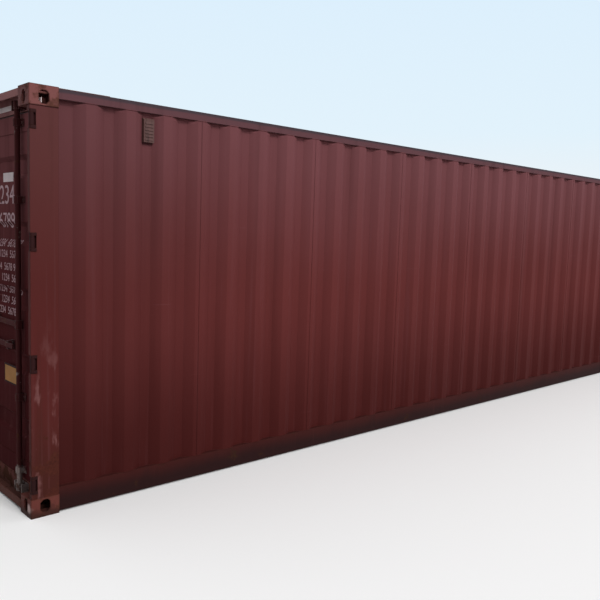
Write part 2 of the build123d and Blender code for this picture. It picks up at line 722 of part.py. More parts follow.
def handle(across, towards, height):
    """Flat handle on its clamp, jogged outwards at its grip."""
    x, y = DOOR_END + BAR_FROM_END, -across
    z = (height - HANDLE_BLADE / 2, height + HANDLE_BLADE / 2)
    hub = HANDLE_HUB_RADIUS
    back = (y - hub, y + hub)
    near = cut_corners(back, x, x + hub, HANDLE_HUB_CORNER, 1)
    far = cut_corners(back, x - hub, x, HANDLE_HUB_CORNER, -1)
    clamp = prism(near, "Z", height - HANDLE_HUB_HEIGHT / 2, height + HANDLE_HUB_HEIGHT / 2)
    clamp += prism(far, "Z", height - HANDLE_HUB_HEIGHT / 2, height + HANDLE_HUB_HEIGHT / 2)
    half = HANDLE_THICKNESS / 2
    line = [
        (x - half, y),
        (x - half, y + towards * HANDLE_LENGTH * HANDLE_STRAIGHT),
        (x - half - HANDLE_JOG, y + towards * HANDLE_LENGTH * HANDLE_GRIP),
        (x - half - HANDLE_JOG, y + towards * HANDLE_LENGTH),
    ]
    arm = prism(bent_sheet(line if towards < 0 else line[::-1], HANDLE_THICKNESS), "Z", *z)
    bore = upright(x, y, BAR_RADIUS + HANDLE_CLEARANCE, (z[0] - HANDLE_HUB_HEIGHT, z[1] + HANDLE_HUB_HEIGHT))
    return [clamp + arm - bore]


def handle_catches():
    """Forks on the leaf, open outwards, that the handles drop into."""
    reach = DOOR_END + BAR_FROM_END - HANDLE_THICKNESS / 2 - HANDLE_JOG
    pieces = []
    for across, towards, height in zip(BAR_POSITIONS, (1, -1), HANDLE_HEIGHTS):
        seat = leaf_seat(height)
        y = -across + towards * CATCH_FROM_BAR
        inner = HANDLE_BLADE / 2 + CATCH_CLEARANCE
        width = (y - CATCH_WIDTH / 2, y + CATCH_WIDTH / 2)
        z = (height - inner - CATCH_PLATE, height + inner + CATCH_PLATE)
        piece = block((seat - CATCH_PLATE, seat), width, z)
        for edge in (z[0], z[1] - CATCH_PLATE):
            piece += block((reach, seat), width, (edge, edge + CATCH_PLATE))
        pieces.append(piece)
    return pieces


def cam_keepers():
    """Plates with side lugs on the sill and header, which the cams turn into."""
    face = DOOR_END + SILL_FACE
    pieces = []
    for across in BAR_POSITIONS:
        for low in (BAR_BOTTOM, BAR_TOP - CAM_HEIGHT):
            z = (low - KEEPER_MARGIN, low + CAM_HEIGHT + KEEPER_MARGIN)
            sides = (-across - KEEPER_HALF_WIDTH, -across + KEEPER_HALF_WIDTH)
            piece = block((face - KEEPER_PLATE, face), sides, z)
            for edge in (sides[0], sides[1] - KEEPER_LUG):
                piece += block((face - KEEPER_PLATE - KEEPER_REACH, face), (edge, edge + KEEPER_LUG), z)
            pieces.append(piece)
    save("cam_keepers", pieces + other_side(pieces))


def doors():
    """Both leaves with all that rides on them."""
    for side, turned in (("right", False), ("left", True)):
        def put(name, solids):
            save(name, other_side(solids) if turned else solids)

        put(f"{side}_door_frame", leaf_frame())
        put(f"{side}_door_panel", leaf_panel())
        put(f"{side}_door_gasket", leaf_gasket())
        put(f"{side}_hinge_blades", hinge_blades())
        put(f"{side}_bar_guides", bar_guides())
        put(f"{side}_handle_catches", handle_catches())
        gear = zip(("outer", "inner"), BAR_POSITIONS, (1, -1), HANDLE_HEIGHTS)
        for which, across, towards, height in gear:
            put(f"{side}_{which}_lock_bar", lock_bar(across, towards))
            put(f"{side}_{which}_handle", handle(across, towards, height))


def ventilators():
    """Covers in a recess of each side wall, at opposite ends of the container."""
    x = WALL_RECESSES[RECESSES_BEFORE_VENT]
    base = -SKIN_Y + WALL_DEPTH
    low = HEIGHT - VENT_DROP - VENT_HEIGHT / 2
    outline = [
        (x - VENT_BASE_WIDTH / 2, base),
        (x - VENT_BASE_WIDTH / 2, base - VENT_BASE),
        (x - VENT_WIDTH / 2, base - 2 * VENT_BASE),
        (x - VENT_WIDTH / 2 + VENT_BASE, base - VENT_STAND),
        (x + VENT_WIDTH / 2 - VENT_BASE, base - VENT_STAND),
        (x + VENT_WIDTH / 2, base - 2 * VENT_BASE),
        (x + VENT_BASE_WIDTH / 2, base - VENT_BASE),
        (x + VENT_BASE_WIDTH / 2, base),
    ]
    right = prism(outline, "Z", low, low + VENT_HEIGHT)
    top_front = right.edges().filter_by(Axis.X).sort_by(Axis.Y)[:2].sort_by(Axis.Z)[-1]
    right = chamfer(top_front, VENT_STAND / 2)
    left = mirror(mirror(right, about=Plane.XZ), about=Plane.YZ)
    save("side_vents", [right, left])


os.makedirs("parts", exist_ok=True)
castings()
side_walls()
side_rails()
front_end()
roof()
floor_and_bearers()
door_frame()
hinge_lugs()
cam_keepers()
doors()
ventilators()
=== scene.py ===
"""Dresses the freight container with finishes, welds, bolts, paint marks and floor joints.

The stage, the light and the camera come with it.
"""

import json
import logging
import math
import random
from dataclasses import astuple, dataclass
from enum import Enum
from typing import Optional, Sequence, Union

import bmesh
import bpy
from mathutils import Matrix, Vector

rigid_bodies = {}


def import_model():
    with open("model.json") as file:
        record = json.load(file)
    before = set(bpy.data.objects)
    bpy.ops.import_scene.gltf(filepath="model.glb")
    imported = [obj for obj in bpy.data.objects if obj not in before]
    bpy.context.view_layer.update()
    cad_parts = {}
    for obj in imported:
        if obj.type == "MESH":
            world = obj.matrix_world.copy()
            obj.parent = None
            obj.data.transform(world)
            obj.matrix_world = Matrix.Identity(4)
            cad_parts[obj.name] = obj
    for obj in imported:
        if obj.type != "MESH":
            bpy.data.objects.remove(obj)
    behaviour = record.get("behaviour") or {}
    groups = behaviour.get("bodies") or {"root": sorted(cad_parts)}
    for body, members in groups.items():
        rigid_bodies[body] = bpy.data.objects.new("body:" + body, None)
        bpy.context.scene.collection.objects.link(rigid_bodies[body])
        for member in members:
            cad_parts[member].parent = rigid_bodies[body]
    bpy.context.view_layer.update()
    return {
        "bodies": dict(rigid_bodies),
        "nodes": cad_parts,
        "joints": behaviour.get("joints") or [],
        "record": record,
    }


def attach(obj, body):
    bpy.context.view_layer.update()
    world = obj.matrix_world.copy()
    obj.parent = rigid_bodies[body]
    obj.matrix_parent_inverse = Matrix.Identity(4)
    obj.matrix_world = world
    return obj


LOG = logging.getLogger("container")

DOOR_END_X = -6.096
FRONT_END_X = 6.096
SIDE_Y = 1.219
SKIN_Y = 1.213
SIDES = (("right", -1), ("left", 1))
BEVEL_SAMPLES = 4
BEAD_SIDES = 6
BEAD_UNEVEN = 0.12

Colour = tuple[float, float, float]
Number = Union["Signal", float]
Place = tuple[float, float, float]
Span = tuple[float, float]


def linear(code: str) -> Colour:
    """Turns a screen colour, six hexadecimal digits after a hash, into a shader's linear values."""
    parts = [int(code[k : k + 2], 16) / 255 for k in (1, 3, 5)]
    return tuple(v / 12.92 if v <= 0.04045 else ((v + 0.055) / 1.055) ** 2.4 for v in parts)


class Signal:
    """A socket of a shader tree that Python's operators work on."""

    def __init__(self, recipe: "Recipe", socket: bpy.types.NodeSocket) -> None:
        """Keeps the socket and the recipe that it belongs to."""
        self.recipe = recipe
        self.socket = socket

    def _maths(self, operation: str, first: Number, second: Number) -> "Signal":
        """Adds one Math node on two values."""
        return self.recipe.node("ShaderNodeMath", {"operation": operation}, {0: first, 1: second})

    def __add__(self, other: Number) -> "Signal":
        """Adds a value."""
        return self._maths("ADD", self, other)

    __radd__ = __add__

    def __sub__(self, other: Number) -> "Signal":
        """Takes a value away."""
        return self._maths("SUBTRACT", self, other)

    def __rsub__(self, other: Number) -> "Signal":
        """Takes this away from a value."""
        return self._maths("SUBTRACT", other, self)

    def __mul__(self, other: Number) -> "Signal":
        """Multiplies by a value."""
        return self._maths("MULTIPLY", self, other)

    __rmul__ = __mul__

    def __abs__(self) -> "Signal":
        """Drops the sign."""
        return self._maths("ABSOLUTE", self, 0.0)

    def largest(self, other: Number) -> "Signal":
        """Takes the larger of this and a value."""
        return self._maths("MAXIMUM", self, other)

    def limited(self) -> "Signal":
        """Keeps this between 0 and 1."""
        return self.recipe.node("ShaderNodeClamp", {}, {0: self})


class Recipe:
    """The node tree of one material or of the world, and the ways of adding to it."""

    def __init__(self, owner: Union[bpy.types.Material, bpy.types.World], place: str = "Object") -> None:
        """Starts an empty tree.

        Args:
            owner: The material or world.
            place: The coordinates that its patterns read.
        """
        owner.use_nodes = True
        self.owner = owner
        self.tree = owner.node_tree
        self.tree.nodes.clear()
        self.here = self.node("ShaderNodeTexCoord", output=place)
        self.x, self.y, self.z = self.axes(self.here)

    @classmethod
    def material(cls, name: str) -> "Recipe":
        """Starts the tree of a new material."""
        return cls(bpy.data.materials.new(name))

    def node(
        self,
        kind: str,
        settings: Optional[dict] = None,
        inputs: Optional[dict] = None,
        output: Union[int, str] = 0,
    ) -> Optional[Signal]:
        """Adds a node of any kind.

        Args:
            kind: The node's type.
            settings: Its properties, set first; stops are a colour ramp's places and colours.
            inputs: Values or signals, by the socket's number or name.
            output: The socket to hand back, by number or name.

        Returns:
            The chosen output, or None for a node that has none.
        """
        made = self.tree.nodes.new(kind)
        for key, value in (settings or {}).items():
            if key == "stops":
                self._set_stops(made.color_ramp, value)
            else:
                setattr(made, key, value)
        for key, value in (inputs or {}).items():
            socket = made.inputs[key]
            if isinstance(value, Signal):
                self.tree.links.new(value.socket, socket)
            elif isinstance(value, tuple) and len(socket.default_value) == 4:
                socket.default_value = (*value, 1.0)
            else:
                socket.default_value = value
        return Signal(self, made.outputs[output]) if made.outputs else None

    @staticmethod
    def _set_stops(ramp: bpy.types.ColorRamp, stops: Sequence[tuple[float, Colour]]) -> None:
        """Fills a colour ramp.

        Args:
            ramp: The ramp.
            stops: Its places and colours.
        """
        while len(ramp.elements) < len(stops):
            ramp.elements.new(1.0)
        for element, (place, colour) in zip(ramp.elements, stops):
            element.position = place
            element.color = (*colour, 1.0)

    def axes(self, vector: Signal) -> tuple[Signal, Signal, Signal]:
        """Splits a vector into its three numbers."""
        split = self.node("ShaderNodeSeparateXYZ", inputs={0: vector}).socket.node
        return tuple(Signal(self, socket) for socket in split.outputs)

    def stretched(self, x: float, y: float, z: float) -> Signal:
        """Scales the place along each axis, so that a pattern is drawn out."""
        return self.node("ShaderNodeMapping", inputs={0: self.here, 3: (x, y, z)})

    def noise(
        self, scale: float, detail: float = 3.0, rough: float = 0.55, at: Optional[Signal] = None
    ) -> Signal:
        """Adds a cloudy pattern about 0.5, with scale features a metre, read here or elsewhere."""
        inputs = {"Vector": at or self.here, "Scale": scale, "Detail": detail, "Roughness": rough}
        return self.node("ShaderNodeTexNoise", inputs=inputs, output="Fac")

    def mask(self, value: Number, low: float, high: float) -> Signal:
        """Rises smoothly from 0 at low to 1 at high, whichever of them is larger."""
        settings = {"interpolation_type": "SMOOTHSTEP"}
        return self.node("ShaderNodeMapRange", settings, {"Value": value, "From Min": low, "From Max": high})

    def blend(self, share: Number, first: Union[Signal, Colour], second: Union[Signal, Colour]) -> Signal:
        """Mixes two colours, where share is how much of the second shows."""
        return self.node("ShaderNodeMix", {"data_type": "RGBA"}, {0: share, 6: first, 7: second}, output=2)

    def shaded(self, colour: Signal, factor: Signal) -> Signal:
        """Multiplies a colour by a number."""
        return self.node("ShaderNodeVectorMath", {"operation": "SCALE"}, {0: colour, 3: factor})

    def dot(self, first: Signal, second: Union[Signal, Place]) -> Signal:
        """Multiplies two vectors into one number."""
        settings = {"operation": "DOT_PRODUCT"}
        return self.node("ShaderNodeVectorMath", settings, {0: first, 1: second}, "Value")

    def edges(self, radius: float) -> Signal:
        """Finds the edges of a solid.

        Args:
            radius: How far from the edge it reaches, in metres.

        Returns:
            0 on flats and up to about 0.3 at a square edge.
        """
        rounded = self.node("ShaderNodeBevel", {"samples": BEVEL_SAMPLES}, {0: radius})
        flat = self.node("ShaderNodeNewGeometry", output="Normal")
        return 1.0 - self.dot(rounded, flat)

    def finish(
        self,
        colour: Union[Signal, Colour],
        roughness: Number,
        metallic: Number = 0.0,
        height: Optional[Signal] = None,
        specular: float = 0.5,
        rounding: float = 0.0,
    ) -> bpy.types.Material:
        """Adds the shader and the output.

        Args:
            colour: The surface's colour.
            roughness: Its roughness.
            metallic: Its metal share.
            height: Relief in metres, or None.
            specular: How strongly it reflects.
            rounding: How softly its edges catch the light, in metres.

        Returns:
            The finished material.
        """
        inputs = {
            "Base Color": colour,
            "Roughness": roughness,
            "Metallic": metallic,
            "Specular IOR Level": specular,
        }
        if height is not None:
            relief = {"Distance": 1.0, "Height": height}
            if rounding:
                relief["Normal"] = self.node("ShaderNodeBevel", {"samples": BEVEL_SAMPLES}, {0: rounding})
            inputs["Normal"] = self.node("ShaderNodeBump", inputs=relief)
        shader = self.node("ShaderNodeBsdfPrincipled", inputs=inputs)
        self.node("ShaderNodeOutputMaterial", inputs={"Surface": shader})
        return self.owner


class Axis(Enum):
    """The container's axes: along, across and up."""

    ALONG = 0
    ACROSS = 1
    UP = 2


@dataclass(frozen=True)
class Weathering:
    """How far age has gone on a painted piece.

    Attributes:
        fade: Share of chalk at the top.
        dark: Share of grime at the foot.
        chalky: Heights between which the chalk comes in.
        grimy: Heights between which the grime comes in, going down.
        patches: How unevenly chalk and grime come in.
        streaks: Strength of the marks that water has left.
        scuffs: Strength of the pale scrapes low down.
        rust: How much of the surface has rusted, from 0 to 1.
        rust_low: Extra rust near the ground.
        edge_wear: How strongly edges are worn to rust.
        dents: Depth of the sheet's waves in metres.
        dirt: Share of dust that lies on it all over.
        ends: Painted shade: how much darker the paint gets near the container's ends, where the light falls
            off.
    """

    fade: float = 0.8
    dark: float = 0.8
    chalky: Span = (1.2, 2.75)
    grimy: Span = (1.35, 0.1)
    patches: float = 1.0
    streaks: float = 0.3
    scuffs: float = 0.0
    rust: float = 0.1
    rust_low: float = 0.2
    edge_wear: float = 0.5
    dents: float = 0.0015
    dirt: float = 0.0
    ends: float = 0.0


@dataclass(frozen=True)
class WeatheredPaint:
    """Brown-red paint on steel: chalked above, grimy below, streaked, scratched and rusting.

    Attributes:
        name: The material's name.
        paint: The paint where it is sound.
        chalk: The paint where the sun has faded it.
        grime: The paint under dirt.
        rust_dark: Old rust.
        rust_warm: Fresh rust.
        age: How weathered it is.
        ribbed: Whether it is a side wall, whose recesses hold more dirt and get painted light right under
            the top rail.
        roughness: Roughness of the sound paint.
        specular: How strongly it reflects.
        rounding: How softly its edges catch the light, in metres.
        lined: The axis through the sheet, if its inner face has the grey paint of the cargo space.
        scuffed: The paint where it has been scraped pale.
        dust: The dust that lies on it.
        painted_light_under_rail: Painted light: a paler colour for the tops of the recesses right under the
            top rail, lifting the rail's shadow there.
        painted_light_heights: Heights between which that painted light comes in.
        recess: Depths between which a recess of the side wall starts.
        lining: The grey paint of the cargo space.
        lining_grime: That paint where freight has rubbed it.
    """

    name: str
    paint: str = "#622b2a"
    chalk: str = "#774a4f"
    grime: str = "#3e110f"
    rust_dark: str = "#2b1712"
    rust_warm: str = "#5c3424"
    age: Weathering = Weathering()
    ribbed: bool = False
    roughness: float = 0.62
    specular: float = 0.1
    rounding: float = 0.003
    lined: Optional[Axis] = None
    scuffed: str = "#7b5150"
    dust: str = "#86736c"
    painted_light_under_rail: str = "#a4666a"
    painted_light_heights: Span = (2.500, 2.512)
    recess: Span = (0.004, 0.034)
    lining: str = "#9a958c"
    lining_grime: str = "#6d665c"

    def build(self) -> bpy.types.Material:
        """Makes the material.

        Returns:
            The finished material.
        """
        r = Recipe.material(self.name)
        age = self.age
        blotch = r.noise(0.8, detail=4)
        speck = r.noise(22, detail=6, rough=0.7)
        runs = r.noise(1, detail=5, rough=0.62, at=r.stretched(6.5, 6.5, 0.22))
        fine_runs = r.noise(1, detail=4, rough=0.6, at=r.stretched(30, 30, 0.5))

        patchy = age.patches * (0.5 * (blotch - 0.5) + 0.35 * (runs - 0.5))
        chalked = (r.mask(r.z + patchy, *age.chalky) * age.fade).limited()
        colour = r.blend(chalked, linear(self.paint), linear(self.chalk))
        low = (r.mask(r.z - patchy, *age.grimy) * age.dark).limited()
        colour = r.blend(low, colour, linear(self.grime))
        wet = r.mask(runs, 0.53, 0.72) * age.streaks
        colour = r.blend(wet, colour, linear(self.grime))
        pale = r.mask(fine_runs, 0.57, 0.74) * (0.6 * age.streaks)
        colour = r.blend(pale, colour, linear(self.chalk))
        if age.scuffs:
            scraped = r.noise(1, detail=4, rough=0.6, at=r.stretched(17, 17, 5))
            scuff = r.mask(scraped, 0.53, 0.68) * r.mask(r.z, 1.3, 0.6)
            colour = r.blend(scuff * age.scuffs, colour, linear(self.scuffed))
        if self.ribbed:
            recess = r.mask(abs(r.y), *(SKIN_Y - depth for depth in self.recess))
            colour = r.blend(recess * (0.02 + 0.2 * runs), colour, linear(self.grime))
            # Painted light: the tops of the recesses right under the top rail are made paler, lifting the
            # shadow that the rail casts there.
            painted_light_share = recess * r.mask(r.z, *self.painted_light_heights) * 0.8
            colour = r.blend(painted_light_share, colour, linear(self.painted_light_under_rail))
        if age.dirt:
            colour = r.blend((speck * age.dirt * 2.0 * blotch).limited(), colour, linear(self.dust))
        shade = 0.86 + 0.2 * blotch + 0.08 * speck
        # Painted shade: the colour darkens towards both ends of the container, standing in for the light
        # falling off there.
        if age.ends:
            shade = shade * (1.0 - age.ends * r.mask(abs(r.x), 4.2, 6.05))
        colour = r.shaded(colour, shade)

        if self.lined is not None:
            colour = r.blend(self._inside(r), colour, self._lining(r, blotch, runs))

        rust = self._rust(r, speck)
        rusty = r.blend(r.noise(60, detail=4, rough=0.7), linear(self.rust_dark), linear(self.rust_warm))
        colour = r.blend(rust, colour, rusty)
        scratch = self._scratches(r)
        colour = r.blend(scratch * 0.35, colour, linear(self.chalk))

        roughness = (self.roughness + 0.16 * blotch + 0.25 * rust - 0.06 * wet).limited()
        waves = age.dents * r.noise(1.9, detail=2, rough=0.4)
        relief = waves + 0.0006 * rust * speck + 0.00008 * r.noise(160, detail=2) - 0.0002 * scratch
        return r.finish(
            colour, roughness, height=relief, specular=self.specular, rounding=self.rounding
        )

    def _inside(self, r: Recipe) -> Signal:
        """Tells faces that look towards the container's middle from those that look outwards.

        Args:
            r: The recipe.

        Returns:
            1 on inner faces and 0 on outer ones.
        """
        facing = r.axes(r.node("ShaderNodeTexCoord", output="Normal"))[self.lined.value]
        place = (r.x, r.y, r.z)[self.lined.value]
        return r.mask(facing * r.node("ShaderNodeMath", {"operation": "SIGN"}, {0: place}), -0.1, -0.2)

    def _lining(self, r: Recipe, blotch: Signal, runs: Signal) -> Signal:
        """Grey paint of the cargo space, rubbed and grimy at the height of the freight.

        Args:
            r: The recipe.
            blotch: Its broad pattern.
            runs: Its drawn-out pattern.

        Returns:
            The paint's colour.
        """
        rubbed = r.mask(runs + 0.2 * r.mask(r.z, 1.4, 0.2), 0.5, 0.75) * 0.7
        colour = r.blend(rubbed, linear(self.lining), linear(self.lining_grime))
        return r.shaded(colour, 0.8 + 0.3 * blotch)

    def _rust(self, r: Recipe, speck: Signal) -> Signal:
        """Finds where the paint has gone: spots, the foot and the edges.

        Args:
            r: The recipe.
            speck: Its fine pattern.

        Returns:
            0 on paint and 1 on rust.
        """
        age = self.age
        spots = r.noise(4.2, detail=9, rough=0.7) + 0.25 * age.rust_low * r.mask(r.z, 1.0, 0.05)
        threshold = 0.77 - 0.22 * age.rust
        rust = r.mask(spots, threshold, threshold + 0.05)
        if age.edge_wear:
            worn = r.mask(r.edges(0.006) + 0.22 * (speck - 0.5), 0.05, 0.16)
            rust = rust.largest(worn * age.edge_wear)
        return rust.limited()

    def _scratches(self, r: Recipe) -> Signal:
        """Draws thin scrapes that run mostly along the container.

        Args:
            r: The recipe.

        Returns:
            1 on a scrape and 0 beside it.
        """
        lines = r.noise(1, detail=3, rough=0.5, at=r.stretched(1.1, 1.1, 90))
        patch = r.mask(r.noise(1.7, detail=2), 0.52, 0.66)
        return r.mask(lines, 0.70, 0.73) * patch


@dataclass(frozen=True)
class CastSteel:
    """Cast corner: pitted, chalked on top, rubbed bare at its corners, black with dirt at the ground, with
    one painted glint.

    Attributes:
        name: The material's name.
        paint: The paint near the ground.
        chalk: The paint near the roof.
        rust: Fresh rust.
        dark: Old rust and dirt.
        scraped: Colour of the painted glint, a pale spot that stands in for light catching the casting.
        rubbed: Middle and radius of the painted glint.
    """

    name: str = "corner_casting_finish"
    paint: str = "#63332d"
    chalk: str = "#7c4b49"
    rust: str = "#553420"
    dark: str = "#17100c"
    scraped: str = "#d9bcb8"
    rubbed: tuple[Place, float] = ((DOOR_END_X, -1.184, 0.058), 0.038)

    def build(self) -> bpy.types.Material:
        """Makes the material.

        Returns:
            The finished material.
        """
        r = Recipe.material(self.name)
        pits = r.noise(85, detail=5, rough=0.7)
        patches = r.noise(9, detail=7, rough=0.68)
        corner = r.edges(0.014)
        colour = r.blend(r.mask(r.z, 0.3, 2.4), linear(self.paint), linear(self.chalk))
        worn = (r.mask(patches, 0.48, 0.62) + 0.6 * r.mask(corner, 0.04, 0.16)).limited()
        colour = r.blend(worn * 0.75, colour, r.blend(pits, linear(self.dark), linear(self.rust)))
        low = r.mask(r.z + 0.12 * (patches - 0.5) + 0.02 * (pits - 0.5), 0.068, 0.010)
        colour = r.blend(low * 0.7, colour, linear(self.dark))
        # Painted glint: a pale spot on the door-end face of the right bottom casting, where light catches
        # it.
        middle, radius = self.rubbed
        away = r.node("ShaderNodeVectorMath", {"operation": "DISTANCE"}, {0: r.here, 1: middle}, "Value")
        rub = r.mask(away + 0.03 * (pits - 0.5), radius, radius * 0.3)
        colour = r.blend(rub, colour, linear(self.scraped))
        colour = r.shaded(colour, 0.8 + 0.4 * patches)
        relief = 0.0009 * pits + 0.0012 * worn * patches
        roughness = (0.66 + 0.25 * worn).limited()
        return r.finish(colour, roughness, height=relief, specular=0.12, rounding=0.006)


@dataclass(frozen=True)
class WornZinc:
    """Galvanized lock gear, once sprayed over with the container's paint.

    Attributes:
        name: The material's name.
        covered: How much of the paint is left, from 0 to 1.
        zinc: The metal where it is clean.
        tarnish: The metal where it is dull.
        paint: The paint over it.
        rust: Where it has rusted.
        bare: Heights between which splashes have taken the paint off.
    """

    name: str = "lock_gear_finish"
    covered: float = 0.9
    zinc: str = "#a3938e"
    tarnish: str = "#6a5a56"
    paint: str = "#4a2122"
    rust: str = "#4d2a1c"
    bare: Span = (0.30, 0.20)

    def build(self) -> bpy.types.Material:
        """Makes the material.

        Returns:
            The finished material.
        """
        r = Recipe.material(self.name)
        spangle = r.node("ShaderNodeTexVoronoi", inputs={"Vector": r.here, "Scale": 140.0}, output="Color")
        tone, _, _ = r.axes(spangle)
        cloud = r.noise(6, detail=6, rough=0.65)
        metal = r.blend((0.35 * tone + 0.6 * cloud).limited(), linear(self.tarnish), linear(self.zinc))
        flakes = r.noise(5.5, detail=8, rough=0.66) - 0.22 * r.mask(r.z, *self.bare)
        edge = 0.66 - 0.36 * self.covered
        kept = r.mask(flakes, edge, edge + 0.05)
        kept = (kept - 0.5 * r.mask(r.edges(0.003), 0.04, 0.14)).limited()
        colour = r.blend(kept, metal, linear(self.paint))
        rusted = r.mask(r.noise(7, detail=9, rough=0.72), 0.56, 0.64)
        colour = r.blend(rusted * 0.85, colour, linear(self.rust))
        dull = kept.largest(rusted)
        roughness = (0.55 + 0.25 * dull + 0.12 * cloud).limited()
        metallic = (0.45 * (1.0 - dull)).limited()
        relief = 0.0003 * kept + 0.0005 * rusted * r.noise(90, detail=4)
        colour = r.shaded(colour, 0.8 + 0.4 * cloud)
        return r.finish(colour, roughness, metallic, relief, specular=0.12, rounding=0.002)


@dataclass(frozen=True)
class SealRubber:
    """Black rubber seal, dusty.

    Attributes:
        name: The material's name.
        rubber: The rubber where it is clean.
        dust: The dust on it.
    """

    name: str = "seal_rubber"
    rubber: str = "#1d1a1a"
    dust: str = "#5b5150"

    def build(self) -> bpy.types.Material:
        """Makes the material.

        Returns:
            The finished material.
        """
        r = Recipe.material(self.name)
        dusty = r.mask(r.noise(14, detail=5, rough=0.6), 0.46, 0.72)
        colour = r.blend(dusty * 0.6, linear(self.rubber), linear(self.dust))
        roughness = (0.62 + 0.25 * dusty).limited()
        return r.finish(colour, roughness, height=0.0003 * r.noise(220, detail=2), specular=0.35)


@dataclass(frozen=True)
class WornPly:
    """Hardwood plywood floor: grain along the container, stained and scuffed by loads.

    Attributes:
        name: The material's name.
        wood: The wood between its pores.
        dark: Its pores.
        stain: Spills and wheel tracks.
    """

    name: str = "floor_ply"
    wood: str = "#7d5a3c"
    dark: str = "#4a3222"
    stain: str = "#2c201a"

    def build(self) -> bpy.types.Material:
        """Makes the material.

        Returns:
            The finished material.
        """
        r = Recipe.material(self.name)
        grain = r.noise(1, detail=6, rough=0.65, at=r.stretched(2.2, 46, 46))
        broad = r.noise(1, detail=3, rough=0.5, at=r.stretched(0.45, 1.6, 1))
        colour = r.blend(r.mask(grain, 0.32, 0.68), linear(self.wood), linear(self.dark))
        tracks = r.mask(r.noise(1, detail=4, rough=0.6, at=r.stretched(0.7, 9, 1)), 0.5, 0.68)
        colour = r.blend(tracks * 0.45, colour, linear(self.stain))
        spill = r.mask(r.noise(1.6, detail=5, rough=0.6), 0.6, 0.68)
        colour = r.blend(spill * 0.6, colour, linear(self.stain))
        colour = r.shaded(colour, 0.75 + 0.5 * broad)
        relief = 0.0007 * grain + 0.0004 * tracks
        return r.finish(colour, (0.55 + 0.3 * grain).limited(), height=relief, specular=0.35)


@dataclass(frozen=True)
class Bitumen:
    """Black underbody coating with road dust and rust that comes through.

    Attributes:
        name: The material's name.
        coat: The coating.
        dust: The dust on it.
        rust: Where it has rusted.
    """

    name: str = "underbody_coating"
    coat: str = "#1f1a18"
    dust: str = "#4b4039"
    rust: str = "#4d2b1b"

    def build(self) -> bpy.types.Material:
        """Makes the material.

        Returns:
            The finished material.
        """
        r = Recipe.material(self.name)
        cloud = r.noise(2.2, detail=6, rough=0.65)
        colour = r.blend(r.mask(cloud, 0.42, 0.7) * 0.7, linear(self.coat), linear(self.dust))
        rusted = r.mask(r.noise(5, detail=9, rough=0.7), 0.58, 0.64)
        colour = r.blend(rusted, colour, linear(self.rust))
        roughness = (0.6 + 0.3 * rusted).limited()
        return r.finish(colour, roughness, height=0.0012 * r.noise(45, detail=4), specular=0.4)


@dataclass(frozen=True)
class FadedMoulding:
    """Grey-brown moulded vent cover, oversprayed and streaked.

    Attributes:
        name: The material's name.
        sound: The cover between its streaks.
        dirty: Its streaks.
    """

    name: str = "vent_moulding"
    sound: str = "#583d3a"
    dirty: str = "#412c29"

    def build(self) -> bpy.types.Material:
        """Makes the material.

        Returns:
            The finished material.
        """
        r = Recipe.material(self.name)
        runs = r.noise(1, detail=5, rough=0.6, at=r.stretched(60, 60, 6))
        colour = r.blend(r.mask(runs, 0.42, 0.68), linear(self.sound), linear(self.dirty))
        return r.finish(colour, roughness=0.7, height=0.0003 * r.noise(120, detail=3), specular=0.25)


@dataclass(frozen=True)
class WornMark:
    """Flat paint or foil on a leaf, worn through to the paint below in places.

    Attributes:
        name: The material's name.
        tone: The mark's own colour.
        worn: How much of it has gone, from 0 to 1.
        below: The colour that shows through.
        roughness: Its roughness.
    """

    name: str
    tone: str
    worn: float = 0.4
    below: str = "#4b2523"
    roughness: float = 0.6

    def build(self) -> bpy.types.Material:
        """Makes the material.

        Returns:
            The finished material.
        """
        r = Recipe.material(self.name)
        rub = r.noise(1, detail=7, rough=0.7, at=r.stretched(16, 22, 11))
        gone = r.mask(rub, 0.74 - 0.34 * self.worn, 0.8 - 0.34 * self.worn)
        colour = r.blend(gone, linear(self.tone), linear(self.below))
        colour = r.shaded(colour, 0.75 + 0.5 * r.noise(7, detail=4))
        roughness = (self.roughness + 0.2 * gone).limited()
        return r.finish(colour, roughness, height=0.00015 * rub, specular=0.15)


class Slot(Enum):
    """The record's material slots."""

    WALL = "wall_paint"
    FRAME = "frame_paint"
    DOOR = "door_paint"
    ROOF = "roof_paint"
    CASTING = "casting"
    RAIL_TOP = "rail_top"
    RAIL_BOTTOM = "rail_bottom"
    UNDERSIDE = "underside"
    FLOOR = "floor_wood"
    GASKET = "gasket_rubber"
    GEAR = "lock_gear"
    HINGE = "hinge_steel"
    VENT = "vent_cover"


